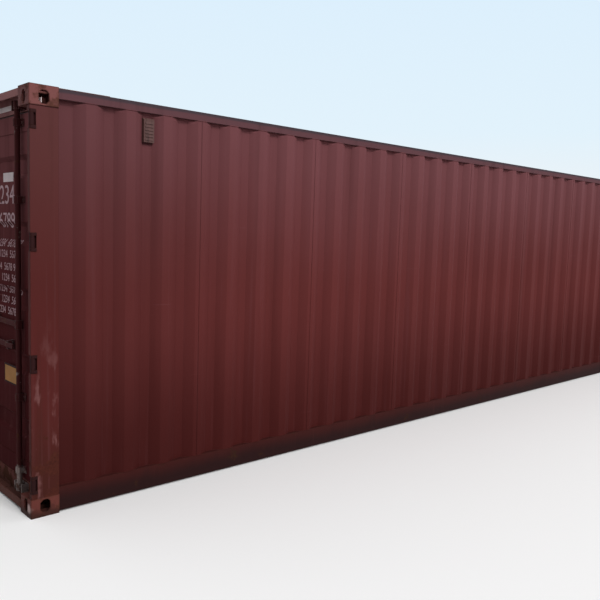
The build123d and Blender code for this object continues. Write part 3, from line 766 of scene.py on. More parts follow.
class Finishes:
    """The finishes, made once.

    Attributes:
        by_slot: The finish of each slot.
        by_node: The finishes of nodes that differ from their slot's.
    """

    def __init__(self) -> None:
        """Builds all the materials."""
        wall_age = Weathering(dark=0.9, streaks=0.2, rust_low=0.1, edge_wear=0.15, dents=0.003, ends=0.25)
        frame_age = Weathering(
            fade=0.9,
            dark=0.9,
            grimy=(0.7, 0.0),
            streaks=0.6,
            scuffs=0.75,
            rust=0.42,
            rust_low=0.9,
            dents=0.0008,
        )
        door_age = Weathering(
            fade=0.9, dark=0.6, streaks=0.5, scuffs=0.15, rust=0.2, rust_low=0.35, edge_wear=0.6
        )
        roof_age = Weathering(
            fade=1.0, dark=0.0, streaks=0.0, rust=0.55, edge_wear=0.5, dents=0.003, dirt=0.8
        )
        rail_age = Weathering(
            fade=1.0,
            dark=0.0,
            chalky=(2.556, 2.574),
            patches=0.03,
            streaks=0.4,
            rust=0.3,
            edge_wear=0.7,
            dents=0.0006,
        )
        foot_age = Weathering(
            fade=0.0,
            dark=1.0,
            grimy=(0.17, 0.05),
            patches=0.2,
            streaks=0.25,
            rust=0.42,
            rust_low=0.3,
            edge_wear=0.8,
        )
        hinge_age = Weathering(
            fade=0.2, dark=0.4, streaks=0.5, rust=0.3, rust_low=0.2, edge_wear=0.6, dents=0.0003
        )
        sill_age = Weathering(
            fade=0.2, dark=0.8, grimy=(0.16, 0.02), patches=0.3, streaks=0.6, rust=0.5, rust_low=0.4
        )
        header_age = Weathering(
            fade=0.95, dark=0.0, chalky=(1.6, 2.7), streaks=0.5, rust=0.3, edge_wear=0.8
        )
        self.by_slot = {
            slot: finish.build()
            for slot, finish in {
                Slot.WALL: WeatheredPaint(
                    "wall_paint_finish", age=wall_age, ribbed=True, rounding=0.008, lined=Axis.ACROSS
                ),
                Slot.FRAME: WeatheredPaint(
                    "frame_paint_finish",
                    paint="#501f1d",
                    chalk="#5c3434",
                    grime="#3d1b15",
                    rust_dark="#2e1513",
                    rust_warm="#5a2c22",
                    age=frame_age,
                ),
                Slot.DOOR: WeatheredPaint(
                    "door_paint_finish",
                    paint="#552224",
                    chalk="#91595c",
                    grime="#3f1416",
                    age=door_age,
                    roughness=0.8,
                    specular=0.05,
                    lined=Axis.ALONG,
                ),
                Slot.ROOF: WeatheredPaint(
                    "roof_paint_finish", chalk="#8a6560", age=roof_age, roughness=0.7, lined=Axis.UP
                ),
                Slot.RAIL_TOP: WeatheredPaint(
                    "top_rail_finish", paint="#5f3e43", chalk="#43373d", grime="#3c2427", age=rail_age
                ),
                Slot.RAIL_BOTTOM: WeatheredPaint(
                    "bottom_rail_finish",
                    paint="#3b1614",
                    chalk="#57302d",
                    grime="#240f0f",
                    rust_dark="#1c100d",
                    rust_warm="#44281d",
                    age=foot_age,
                ),
                # Painted shade: the hinge steel is painted near black, so that the hinge notches in the
                # corner posts read dark as if in shadow.
                Slot.HINGE: WeatheredPaint(
                    "hinge_finish", paint="#2b1213", chalk="#3c1f20", grime="#1a0c0c", age=hinge_age
                ),
                Slot.CASTING: CastSteel(),
                Slot.UNDERSIDE: Bitumen(),
                Slot.FLOOR: WornPly(),
                Slot.GASKET: SealRubber(),
                Slot.GEAR: WornZinc(),
                Slot.VENT: FadedMoulding(),
            }.items()
        }
        self.by_node = {
            "front_wall": WeatheredPaint(
                "front_wall_finish", age=wall_age, rounding=0.008, lined=Axis.ALONG
            ).build(),
            "door_header": WeatheredPaint(
                "header_finish", paint="#834a4c", chalk="#a87473", age=header_age
            ).build(),
            "door_sill": WeatheredPaint(
                "sill_finish", paint="#6b3a35", grime="#5c3a31", age=sill_age
            ).build(),
        }

    def dress(self, frame: dict) -> None:
        """Gives each node of the frame its slot's finish.

        Args:
            frame: What the frame's loader returned.
        """
        slots = {part["node"]: Slot(part["material_slot"]) for part in frame["record"]["subparts"]}
        for name, node in frame["nodes"].items():
            node.data.materials.clear()
            node.data.materials.append(self.by_node.get(name, self.by_slot[slots[name]]))
        LOG.info("dressed %d nodes", len(frame["nodes"]))


@dataclass
class Assembly:
    """What every group of added pieces needs.

    Attributes:
        finishes: The shared finishes.
    """

    finishes: Finishes

    def hang(
        self,
        name: str,
        shape: bmesh.types.BMesh,
        body: str,
        slot: Slot,
        finish: Optional[bpy.types.Material] = None,
        smooth: bool = False,
    ) -> None:
        """Turns a shape into a piece that rides on a body.

        Args:
            name: The piece's name.
            shape: Its geometry, in place in the row frame.
            body: The body it rides on.
            slot: The slot whose finish it takes when it has none of its own.
            finish: Its own material, or None for the slot's.
            smooth: Whether it is shaded smooth.
        """
        bmesh.ops.recalc_face_normals(shape, faces=shape.faces)
        mesh = bpy.data.meshes.new(name)
        shape.to_mesh(mesh)
        shape.free()
        if smooth:
            mesh.polygons.foreach_set("use_smooth", [True] * len(mesh.polygons))
        mesh.materials.append(finish or self.finishes.by_slot[slot])
        piece = bpy.data.objects.new(name, mesh)
        bpy.context.scene.collection.objects.link(piece)
        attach(piece, body)
        LOG.info("%s: %d faces on %s", name, len(mesh.polygons), body)


def bead(
    shape: bmesh.types.BMesh, path: Sequence[Place], radius: float, seed: int, step: float = 0.06
) -> None:
    """Lays a weld bead along a path of straight runs.

    Args:
        shape: The geometry to add to.
        path: Its corners.
        radius: Its half width.
        seed: Seed of its unevenness.
        step: Distance between its rings.
    """
    draw = random.Random(seed)
    points = [Vector(place) for place in path]
    middle = points[0]
    along = (points[-1] - middle).normalized()
    turned = Matrix.Translation(middle) @ along.to_track_quat("Z", "Y").to_matrix().to_4x4()
    ring = bmesh.ops.create_circle(shape, segments=BEAD_SIDES, radius=radius, matrix=turned)["verts"]
    edges = list({edge for vert in ring for edge in vert.link_edges})
    ends = [list(edges)]
    for start, end in zip(points, points[1:]):
        count = max(1, round((end - start).length / step))
        for k in range(1, count + 1):
            place = start.lerp(end, k / count)
            grown = bmesh.ops.extrude_edge_only(shape, edges=edges)["geom"]
            verts = [item for item in grown if isinstance(item, bmesh.types.BMVert)]
            edges = [item for item in grown if isinstance(item, bmesh.types.BMEdge)]
            bmesh.ops.translate(shape, verts=verts, vec=place - middle)
            middle = place
            wanted = radius * (1 + draw.uniform(-BEAD_UNEVEN, BEAD_UNEVEN))
            factor = wanted / (verts[0].co - middle).length
            bmesh.ops.scale(shape, vec=(factor,) * 3, space=Matrix.Translation(-middle), verts=verts)
    ends.append(edges)
    for loop in ends:
        bmesh.ops.contextual_create(shape, geom=loop)


def box(
    shape: bmesh.types.BMesh, one: Place, other: Place, rounding: float = 0.0
) -> list[bmesh.types.BMVert]:
    """Adds a box between two opposite corners.

    Args:
        shape: The geometry to add to.
        one: One corner.
        other: The corner opposite.
        rounding: Radius of its edges.

    Returns:
        Its vertices before the rounding.
    """
    low = Vector([min(pair) for pair in zip(one, other)])
    high = Vector([max(pair) for pair in zip(one, other)])
    place = Matrix.Translation((high + low) / 2) @ Matrix.Diagonal((*(high - low), 1.0))
    made = bmesh.ops.create_cube(shape, size=1.0, matrix=place)["verts"]
    if rounding:
        bmesh.ops.bevel(
            shape,
            geom=list({edge for vert in made for edge in vert.link_edges}),
            offset=rounding,
            segments=2,
            profile=0.5,
            affect="EDGES",
            material=-1,
            clamp_overlap=True,
        )
    return made


@dataclass(frozen=True)
class BoltLayer:
    """One cone of a bolt, in shares of the head's radius.

    Attributes:
        segments: How many sides it has.
        wide: Radius at its foot.
        narrow: Radius at its top.
        height: Its height.
        start: How far its foot is from the seat.
    """

    segments: int
    wide: float
    narrow: float
    height: float
    start: float = 0.0


WASHER = BoltLayer(segments=16, wide=1.5, narrow=1.45, height=0.25)
HEXAGON = BoltLayer(segments=6, wide=1.0, narrow=0.97, height=0.75, start=0.2)
SHANK_END = BoltLayer(segments=10, wide=0.72, narrow=0.4, height=0.2, start=0.95)


def bolt(shape: bmesh.types.BMesh, place: Place, radius: float) -> None:
    """Adds a washer with a hexagon head and a domed end, on a face of the door end.

    Args:
        shape: The geometry to add to.
        place: The middle of its seat.
        radius: Half the width of the head.
    """
    outwards = Vector((-1, 0, 0))
    turn = outwards.to_track_quat("Z", "Y").to_matrix().to_4x4()
    for layer in (WASHER, HEXAGON, SHANK_END):
        middle = Vector(place) + outwards * radius * (layer.start + layer.height / 2)
        bmesh.ops.create_cone(
            shape,
            cap_ends=True,
            segments=layer.segments,
            radius1=radius * layer.wide,
            radius2=radius * layer.narrow,
            depth=radius * layer.height,
            matrix=Matrix.Translation(middle) @ turn,
        )


@dataclass(frozen=True)
class Ribs:
    """The trapezoid ribs of a pressed sheet.

    Attributes:
        first: Middle of the first recess.
        pitch: Distance between recesses.
        count: How many there are.
        flat: Width of a recess's flat.
        slope: Width of each slope.
        depth: Depth of the recess.
        sunk: Whether the sheet starts and ends inside its first and last recess.
    """

    first: float
    pitch: float
    count: int
    flat: float
    slope: float
    depth: float
    sunk: bool = False

    def line(self, start: float, end: float) -> list[Span]:
        """Follows the sheet.

        Args:
            start: Where it starts.
            end: Where it ends.

        Returns:
            Its corners, as (distance along, depth in).
        """
        points = []
        half = self.flat / 2
        for k in range(self.count):
            middle = self.first + k * self.pitch
            points.append((middle - half - self.slope, 0.0))
            points.append((middle - half, self.depth))
            points.append((middle + half, self.depth))
            points.append((middle + half + self.slope, 0.0))
        if self.sunk:
            return [(start, self.depth)] + points[2:-2] + [(end, self.depth)]
        return [(start, 0.0)] + points + [(end, 0.0)]


SIDE_RIBS = Ribs(
    DOOR_END_X + 0.248, pitch=0.272, count=44, flat=0.070, slope=0.068, depth=0.036, sunk=True
)
FRONT_RIBS = Ribs(-0.896, pitch=0.256, count=8, flat=0.110, slope=0.018, depth=0.045)


@dataclass
class WallWelds(Assembly):
    """Beads where the walls meet their rails and where the sheets of the side walls are joined.

    Attributes:
        radius: Half width of the long beads.
        low: Height of the bead on the bottom rail.
        high: Height of the bead under the top rail.
        start: Where the side sheets start, along X.
        front: The front sheet's plane.
        front_half: Half the front sheet's width.
        front_seed: Seed of the front sheet's upright beads.
        sheet_ribs: Ribs in one sheet of a side wall.
        seam: Half width of a sheet seam.
        rail_step: Distance between the rings of a bead on a side rail.
        seam_step: Distance between the rings of a seam.
    """

    radius: float = 0.0035
    low: float = 0.1625
    high: float = 2.525
    start: float = DOOR_END_X + 0.178
    front: float = FRONT_END_X - 0.006
    front_half: float = 1.057
    front_seed: int = 3
    sheet_ribs: int = 4
    seam: float = 0.0026
    rail_step: float = 0.12
    seam_step: float = 0.1

    def build(self) -> None:
        """Makes the beads of both side walls and of the front wall."""
        for side, sign in SIDES:
            shape = bmesh.new()
            line = SIDE_RIBS.line(self.start, -self.start)
            for seed, height in enumerate((self.low, self.high)):
                path = [(x, sign * (SKIN_Y - inward), height) for x, inward in line]
                bead(shape, path, self.radius, seed, self.rail_step)
            for k in range(self.sheet_ribs, SIDE_RIBS.count, self.sheet_ribs):
                x = SIDE_RIBS.first + (k - 0.5) * SIDE_RIBS.pitch
                path = [(x, sign * SKIN_Y, self.low), (x, sign * SKIN_Y, self.high)]
                bead(shape, path, self.seam, k, self.seam_step)
            self.hang(f"{side}_wall_welds", shape, "root", Slot.WALL)

        shape = bmesh.new()
        line = FRONT_RIBS.line(-self.front_half, self.front_half)
        for seed, height in enumerate((self.low, self.high)):
            bead(shape, [(self.front - inward, y, height) for y, inward in line], self.radius, seed)
        for y in (-self.front_half, self.front_half):
            path = [(self.front, y, self.low), (self.front, y, self.high)]
            bead(shape, path, self.radius, self.front_seed)
        self.hang("front_wall_welds", shape, "root", Slot.WALL)


@dataclass
class RoofWelds(Assembly):
    """Seams between the roof's sheets and beads along its rails.

    Attributes:
        top: Height of the roof sheet.
        first: Middle of the first trough.
        pitch: Distance between troughs.
        troughs: Troughs in one sheet.
        half: Half the sheet's width.
        start: Where the sheet starts, along X.
        end: Where it ends.
        radius: Half width of the beads.
        seam_step: Distance between the rings of a seam.
        rail_step: Distance between the rings of a bead along a rail.
        rail_seed: Seed of the beads along the rails.
    """

    top: float = 2.585
    first: float = -5.722
    pitch: float = 0.214
    troughs: int = 5
    half: float = 1.153
    start: float = DOOR_END_X + 0.178
    end: float = 6.030
    radius: float = 0.003
    seam_step: float = 0.07
    rail_step: float = 0.1
    rail_seed: int = 40

    def build(self) -> None:
        """Makes all the roof's beads."""
        shape = bmesh.new()
        x = self.first + (self.troughs - 0.5) * self.pitch
        seed = 0
        while x < self.end:
            path = [(x, -self.half, self.top), (x, self.half, self.top)]
            bead(shape, path, self.radius, seed, self.seam_step)
            x += self.troughs * self.pitch
            seed += 1
        for y in (-self.half, self.half):
            path = [(self.start, y, self.top), (self.end, y, self.top)]
            bead(shape, path, self.radius, self.rail_seed, self.rail_step)
        self.hang("roof_welds", shape, "root", Slot.ROOF)


@dataclass
class PostWelds(Assembly):
    """Beads where the corner posts meet their castings.

    Attributes:
        radius: Half width of the beads.
        heights: Heights of the lower and upper beads.
        post: Depth of a post, along X.
        rim: How far the bead runs round the corner.
        inset: How far a post's end face lies inside the container's.
        step: Distance between the rings.
        side_seed: Seed of the beads on the sides.
        end_seed: Seed of the beads on the ends.
    """

    radius: float = 0.004
    heights: Span = (0.118, 2.473)
    post: float = 0.178
    rim: float = 0.049
    inset: float = 0.006
    step: float = 0.03
    side_seed: int = 7
    end_seed: int = 8

    def build(self) -> None:
        """Makes the beads of all four posts."""
        shape = bmesh.new()
        for sign_x in (-1, 1):
            for sign_y in (-1, 1):
                for height in self.heights:
                    end, skin = sign_x * (FRONT_END_X - self.inset), sign_y * SKIN_Y
                    inner = (sign_x * (FRONT_END_X - self.post), skin, height)
                    corner = (end, skin, height)
                    round_it = (end, sign_y * (SIDE_Y - self.rim), height)
                    bead(shape, [inner, corner], self.radius, self.side_seed, self.step)
                    bead(shape, [corner, round_it], self.radius, self.end_seed, self.step)
        self.hang("post_welds", shape, "root", Slot.FRAME)


@dataclass
class VentTrim(Assembly):
    """Slats on the two vent covers.

    Attributes:
        middle: The right cover's middle, along X.
        slats: How many there are.
        width: Their width.
        front: The cover's outer plane.
        low: Height of the lowest.
        pitch: Distance between them.
        tall: Height of one.
        proud: How far it stands out.
        sunk: How far its root lies in the cover.
    """

    middle: float = SIDE_RIBS.first + 2 * SIDE_RIBS.pitch
    slats: int = 6
    width: float = 0.058
    front: float = SKIN_Y - 0.010
    low: float = 2.351
    pitch: float = 0.021
    tall: float = 0.014
    proud: float = 0.004
    sunk: float = 0.001

    def build(self) -> None:
        """Makes the slats of both covers."""
        shape = bmesh.new()
        for turned in (-1, 1):
            x, face = self.middle * -turned, self.front * turned
            for k in range(self.slats):
                z = self.low + k * self.pitch
                root = (x - self.width / 2, face - turned * self.sunk, z)
                verts = box(shape, root, (x + self.width / 2, face + turned * self.proud, z + self.tall))
                upper = [v for v in verts if v.co.z > z + self.tall / 2 and abs(v.co.y) > abs(face)]
                bmesh.ops.translate(shape, verts=upper, vec=(0, -turned * self.proud, 0))
        self.hang("vent_slats", shape, "root", Slot.VENT)


@dataclass(frozen=True)
class FigureRow:
    """One painted row of figures.

    Attributes:
        text: The figures.
        low: Height of its foot.
        tall: Their height.
        edge: Where the row ends, from the middle.
    """

    text: str
    low: float
    tall: float
    edge: float


@dataclass(frozen=True)
class Patch:
    """An upright rectangle on a leaf or on the header.

    Attributes:
        near: Its edge towards the middle, measured from there.
        far: Its other edge.
        low: Height of its lower edge.
        high: Height of its upper edge.
    """

    near: float
    far: float
    low: float
    high: float


@dataclass
class DoorMarks(Assembly):
    """Paint and plates on the doors: rows of plain figures, a bare plate, a bare label and a pale band.

    Attributes:
        face: The door plane that marks are laid on from outside.
        reach: How far outside the doors the search for their face starts.
        proud: How far the paint stands out from the sheet.
        thick: Thickness of the paint.
        slice: Height of the strips that let figures follow the ribs.
        cap_share: A figure's height as a share of the type size.
        large_rows: The two large rows.
        small_lows: Heights of the small rows.
        small_text: The longest small row.
        small_height: Height of the small figures.
        small_edge: Where the small rows end.
        small_shift: How far neighbouring small rows are shifted.
        plate: The bare plate.
        border: Width of the plate's frame.
        frame_thick: How far the plate's frame stands out.
        plate_span: How far the plate's back and face stand out.
        rivet: Half the width of a plate rivet.
        label: The bare label.
        label_span: How far its back lies inwards and its face stands out.
        band_face: The header's plane, from the door end.
        band_thick: Thickness of the pale band.
        band_heights: Heights of its edges.
        band_parts: Its stretches between the cam keepers.
    """

    face: float = DOOR_END_X + 0.091
    reach: float = 0.2
    proud: float = 0.0008
    thick: float = 0.0006
    slice: float = 0.012
    cap_share: float = 0.72
    large_rows: tuple[FigureRow, ...] = (
        FigureRow("12345", 1.912, 0.125, 0.840),
        FigureRow("6789", 1.758, 0.100, 0.757),
    )
    small_lows: tuple[float, ...] = (1.634, 1.563, 1.479, 1.407, 1.329, 1.257, 1.190)
    small_text: str = "1234  5678 90"
    small_height: float = 0.050
    small_edge: float = 0.85
    small_shift: float = 0.03
    plate: Patch = Patch(0.577, 0.771, 0.742, 0.846)
    border: float = 0.012
    frame_thick: float = 0.005
    plate_span: Span = (0.0048, 0.0065)
    rivet: float = 0.0028
    label: Patch = Patch(0.562, 0.735, 2.052, 2.110)
    label_span: Span = (0.0010, 0.0012)
    band_face: float = DOOR_END_X + 0.096
    band_thick: float = 0.004
    band_heights: Span = (2.497, 2.529)
    band_parts: tuple[Span, ...] = (
        (-1.168, -0.946),
        (-0.812, -0.387),
        (-0.253, 0.253),
        (0.387, 0.812),
        (0.946, 1.168),
    )

    def build(self, frame: dict) -> None:
        """Makes all the marks.

        Args:
            frame: What the frame's loader returned.
        """
        panel = frame["nodes"]["right_door_panel"]
        stencil = WornMark("stencil_paint", "#cbaab1", worn=0.4, below="#4a2423").build()
        small = WornMark("small_stencil_paint", "#c4a3a9", worn=0.3, below="#4a2423").build()
        painted = [(row, stencil) for row in self.large_rows]
        for number, low in enumerate(self.small_lows):
            text = self.small_text[: len(self.small_text) - 2 * (number % 2)]
            edge = self.small_edge - self.small_shift * (number % 3)
            painted.append((FigureRow(text, low, self.small_height, edge), small))
        for number, (row, finish) in enumerate(painted):
            self._figures(f"figures_row_{number + 1}", row, panel, finish)
        self._plate()
        self._label()
        self._band()

    def _figures(
        self, name: str, row: FigureRow, panel: bpy.types.Object, finish: bpy.types.Material
    ) -> None:
        """Paints one row of figures on the right leaf, following its ribs.

        Args:
            name: The piece's name.
            row: The figures and their place.
            panel: The leaf's sheet.
            finish: Their material.
        """
        shape = self._flat_figures(name, row)
        place = Matrix(((0, 0, -1, DOOR_END_X), (-1, 0, 0, -row.edge), (0, 1, 0, row.low), (0, 0, 0, 1)))
        bmesh.ops.transform(shape, matrix=place, verts=shape.verts)
        for k in range(int(row.tall / self.slice) + 1):
            cut = shape.verts[:] + shape.edges[:] + shape.faces[:]
            level = (0, 0, row.low + k * self.slice)
            bmesh.ops.bisect_plane(shape, geom=cut, plane_co=level, plane_no=(0, 0, 1))
        inwards = Vector((1, 0, 0))
        for vert in shape.verts:
            outside = Vector((DOOR_END_X - self.reach, vert.co.y, vert.co.z))
            hit, where, _, _ = panel.ray_cast(outside, inwards)
            vert.co.x = (where.x if hit else self.face) - self.proud
        raised = bmesh.ops.extrude_face_region(shape, geom=shape.faces[:])["geom"]
        skin = [item for item in raised if isinstance(item, bmesh.types.BMVert)]
        bmesh.ops.translate(shape, verts=skin, vec=(self.thick, 0, 0))
        self.hang(name, shape, "right_door", Slot.DOOR, finish)

    def _flat_figures(self, name: str, row: FigureRow) -> bmesh.types.BMesh:
        """Sets a row of figures flat, with its right end at the origin.

        Args:
            name: The piece's name.
            row: The figures.

        Returns:
            Their faces.
        """
        curve = bpy.data.curves.new(name, "FONT")
        curve.body = row.text
        curve.size = row.tall / self.cap_share
        curve.align_x = "RIGHT"
        maker = bpy.data.objects.new(name + "_maker", curve)
        bpy.context.scene.collection.objects.link(maker)
        bpy.context.view_layer.update()
        flat = bpy.data.meshes.new_from_object(maker.evaluated_get(bpy.context.evaluated_depsgraph_get()))
        bpy.data.objects.remove(maker)
        shape = bmesh.new()
        shape.from_mesh(flat)
        bpy.data.meshes.remove(flat)
        return shape

    def _plate(self) -> None:
        """Makes the bare yellow plate in its dark frame, held by four rivets."""
        near, far, low, high = astuple(self.plate)
        x, border = self.face, self.border
        shape = bmesh.new()
        corner = (x - self.frame_thick, -far - border, low - border)
        box(shape, corner, (x, -near + border, high + border), rounding=0.002)
        self.hang("plate_frame", shape, "right_door", Slot.HINGE)
        shape = bmesh.new()
        back, front = self.plate_span
        box(shape, (x - front, -far, low), (x - back, -near, high), rounding=0.0006)
        plate = WornMark("bare_plate_paint", "#b17a3e", worn=0.3, below="#6b4424")
        self.hang("bare_plate", shape, "right_door", Slot.DOOR, plate.build())
        shape = bmesh.new()
        for y in (-near + border / 2, -far - border / 2):
            for z in (low - border / 2, high + border / 2):
                bolt(shape, (x - self.frame_thick, y, z), self.rivet)
        self.hang("plate_rivets", shape, "right_door", Slot.GEAR)

    def _label(self) -> None:
        """Makes the small bare label above the figures."""
        near, far, low, high = astuple(self.label)
        back, front = self.label_span
        x = self.face
        shape = bmesh.new()
        box(shape, (x - front, -far, low), (x + back, -near, high), rounding=0.0005)
        label = WornMark("bare_label_paint", "#f0dfe2", worn=0.2)
        self.hang("bare_label", shape, "right_door", Slot.DOOR, label.build())

    def _band(self) -> None:
        """Makes the pale strip along the header's face, between the cam keepers; its near-white is partly a
        painted highlight.
        """
        x = self.band_face
        low, high = self.band_heights
        shape = bmesh.new()
        for start, end in self.band_parts:
            box(shape, (x - self.band_thick, start, low), (x, end, high), rounding=0.0008)
        # Painted highlight: the strip is a pale band, and its near-white also stands in for the bright line
        # where light catches the header.
        strip = WornMark("header_strip_paint", "#fff2f3", worn=0.05)
        self.hang("header_strip", shape, "root", Slot.FRAME, strip.build())


@dataclass
class LockFasteners(Assembly):
    """Bolts of the bar guides, handle catches and handle clamps, and welds round the cam keepers.

    Attributes:
        bars: Distance of each bar from the middle.
        names: The bars' names.
        guides: Heights of the guides.
        handles: Heights of the handles.
        catches: Distance of each handle's catch from the middle.
        sheet: Heights between which a bracket stands on the leaf's sheet.
        sheet_seat: Seat of a bolt over the sheet, from the door end.
        frame_seat: Seat of a bolt over the leaf's frame.
        catch_seat: Seat of a catch's bolt.
        foot: Distance of a guide's bolts from its bar.
        clamp: How far a handle's clamp stands out from the door end.
        clamp_lift: How far a clamp's bolts are above and below the handle.
        clamp_share: Size of a clamp's bolt as a share of the others.
        radius: Half the width of a bolt.
        keeper_face: The keepers' plates, from the door end.
        keeper_half: Half the length of a keeper's weld.
        keeper_heights: Heights of the welds.
        weld: Half width of a weld.
        weld_step: Distance between its rings.
    """

    bars: Span = (0.879, 0.320)
    names: tuple[str, str] = ("outer", "inner")
    guides: tuple[float, ...] = (0.210, 0.6856, 1.9324, 2.403)
    handles: Span = (1.150, 1.000)
    catches: Span = (0.479, 0.720)
    sheet: Span = (0.270, 2.348)
    sheet_seat: float = DOOR_END_X + 0.086
    frame_seat: float = DOOR_END_X + 0.083
    catch_seat: float = DOOR_END_X + 0.085
    foot: float = 0.0345
    clamp: float = 0.041
    clamp_lift: float = 0.021
    clamp_share: float = 0.7
    radius: float = 0.0075
    keeper_face: float = DOOR_END_X + 0.096
    keeper_half: float = 0.060
    keeper_heights: tuple[float, ...] = (0.063, 0.123, 2.479, 2.539)
    weld: float = 0.0035
    weld_step: float = 0.015

    def build(self) -> None:
        """Makes the fasteners of both leaves."""
        for side, sign in SIDES:
            shape = bmesh.new()
            for across in self.bars:
                for height in self.guides:
                    on_sheet = self.sheet[0] < height < self.sheet[1]
                    seat = self.sheet_seat if on_sheet else self.frame_seat
                    for offset in (-self.foot, self.foot):
                        bolt(shape, (seat, sign * (across + offset), height), self.radius)
            for across, height in zip(self.catches, self.handles):
                bolt(shape, (self.catch_seat, sign * across, height), self.radius)
            self.hang(f"{side}_gear_bolts", shape, f"{side}_door", Slot.GEAR)
            for which, across, height in zip(self.names, self.bars, self.handles):
                shape = bmesh.new()
                for lift in (-self.clamp_lift, self.clamp_lift):
                    place = (DOOR_END_X + self.clamp, sign * across, height + lift)
                    bolt(shape, place, self.radius * self.clamp_share)
                self.hang(f"{side}_{which}_clamp_bolts", shape, f"{side}_{which}_bar", Slot.GEAR)
        self._keeper_welds()

    def _keeper_welds(self) -> None:
        """Lays beads along the upper and lower edges of the cam keepers' plates."""
        x, half = self.keeper_face, self.keeper_half
        shape = bmesh.new()
        for sign in (-1, 1):
            for across in self.bars:
                middle = sign * across
                for seed, height in enumerate(self.keeper_heights):
                    path = [(x, middle - half, height), (x, middle + half, height)]
                    bead(shape, path, self.weld, seed, self.weld_step)
        self.hang("keeper_welds", shape, "root", Slot.FRAME)


@dataclass
class SealStrips(Assembly):
    """Flat strips with rivets that hold the rubber seals, on the inner face of each leaf.

    Attributes:
        back: The leaf's inner face, along X.
        inner: Middle of the strip beside the other leaf.
        outer: Middle of the strip beside the hinges.
        low: Height of the lower strip's middle.
        high: Height of the upper strip's middle.
        wide: Width of a strip.
        thick: Its thickness.
        rounding: Radius of its edges.
        rivet: Radius of a rivet's head.
        rivet_rise: How far the head rises, as a share of that.
        rivet_gap: Distance between rivets.
    """

    back: float = DOOR_END_X + 0.134
    inner: float = 0.032
    outer: float = 1.145
    low: float = 0.176
    high: float = 2.432
    wide: float = 0.026
    thick: float = 0.002
    rounding: float = 0.0005
    rivet: float = 0.005
    rivet_rise: float = 0.4
    rivet_gap: float = 0.16

    def build(self) -> None:
        """Makes the strips and rivets of both leaves."""
        half = self.wide / 2
        back, face = self.back, self.back + self.thick
        for side, sign in SIDES:
            shape, heads = bmesh.new(), bmesh.new()
            for y in (self.inner, self.outer):
                corner = (back, sign * (y - half), self.low - half)
                box(shape, corner, (face, sign * (y + half), self.high + half), self.rounding)
                for z in self._places(self.low, self.high):
                    self._rivet(heads, (face, sign * y, z))
            for z in (self.low, self.high):
                corner = (back, sign * (self.inner + half), z - half)
                box(shape, corner, (face, sign * (self.outer - half), z + half), self.rounding)
                for y in self._places(self.inner, self.outer)[1:-1]:
                    self._rivet(heads, (face, sign * y, z))
            self.hang(f"{side}_seal_strips", shape, f"{side}_door", Slot.DOOR)
            self.hang(f"{side}_seal_rivets", heads, f"{side}_door", Slot.GEAR, smooth=True)

    def _places(self, low: float, high: float) -> list[float]:
        """Spaces rivets evenly from low to high."""
        count = round((high - low) / self.rivet_gap)
        return [low + (high - low) * k / count for k in range(count + 1)]

    def _rivet(self, shape: bmesh.types.BMesh, place: Place) -> None:
        """Adds a domed rivet head that faces into the container."""
        squash = Matrix.Translation(place) @ Matrix.Diagonal((self.rivet_rise, 1.0, 1.0, 1.0))
        bmesh.ops.create_icosphere(shape, subdivisions=1, radius=self.rivet, matrix=squash)


@dataclass
class CargoFloor(Assembly):
    """Joints and screws of the plywood floor.

    Attributes:
        top: Height of the boards' upper face.
        half: Half the floor's width.
        start: Where it starts, along X.
        end: Where it ends.
        board: Length of a board.
        joint_half: Half the width of a joint across the floor.
        joint_rise: How far it stands out of the floor.
        strip_half: Half the width of the steel strip along the middle.
        strip_rise: How far that stands out.
        sunk: How deep both lie in the floor.
        bearer_first: Middle of the first cross member's flange.
        bearer_pitch: Distance between cross members.
        margin: Distance of the outermost screws from the floor's side.
        end_margin: Distance of the last screws from its end.
        screw_gap: Distance between screws.
        screw: Radius of a screw's head.
        screw_taper: Radius at its top, as a share of that.
        screw_depth: Its height.
        screw_rise: How far its middle is above the floor.
    """

    top: float = 0.164
    half: float = 1.165
    start: float = DOOR_END_X + 0.178
    end: float = 6.030
    board: float = 2.400
    joint_half: float = 0.002
    joint_rise: float = 0.0004
    strip_half: float = 0.018
    strip_rise: float = 0.0012
    sunk: float = 0.001
    bearer_first: float = DOOR_END_X + 0.330 + 0.022
    bearer_pitch: float = 0.304
    margin: float = 0.06
    end_margin: float = 0.05
    screw_gap: float = 0.182
    screw: float = 0.0065
    screw_taper: float = 0.8
    screw_depth: float = 0.0018
    screw_rise: float = 0.0003

    def build(self) -> None:
        """Makes the joint strips and the screws."""
        shape = bmesh.new()
        foot = self.top - self.sunk
        for k in range(1, int((self.end - self.start) / self.board) + 1):
            x = self.start + k * self.board
            corner = (x - self.joint_half, -self.half, foot)
            box(shape, corner, (x + self.joint_half, self.half, self.top + self.joint_rise))
        corner = (self.start, -self.strip_half, foot)
        box(shape, corner, (self.end, self.strip_half, self.top + self.strip_rise))
        self.hang("floor_joints", shape, "root", Slot.UNDERSIDE)
        self._screws()

    def _screws(self) -> None:
        """Drives a row of screws into each cross member."""
        shape = bmesh.new()
        reach = self.half - self.margin
        rows = int((self.end - self.end_margin - self.bearer_first) / self.bearer_pitch) + 1
        across = int(2 * reach / self.screw_gap)
        for k in range(rows):
            x = self.bearer_first + k * self.bearer_pitch
            for n in range(across + 1):
                y = -self.half + self.margin + n * 2 * reach / across
                bmesh.ops.create_cone(
                    shape,
                    cap_ends=True,
                    segments=8,
                    radius1=self.screw,
                    radius2=self.screw * self.screw_taper,
                    depth=self.screw_depth,
                    matrix=Matrix.Translation((x, y, self.top + self.screw_rise)),
                )
        self.hang("floor_screws", shape, "root", Slot.GEAR)


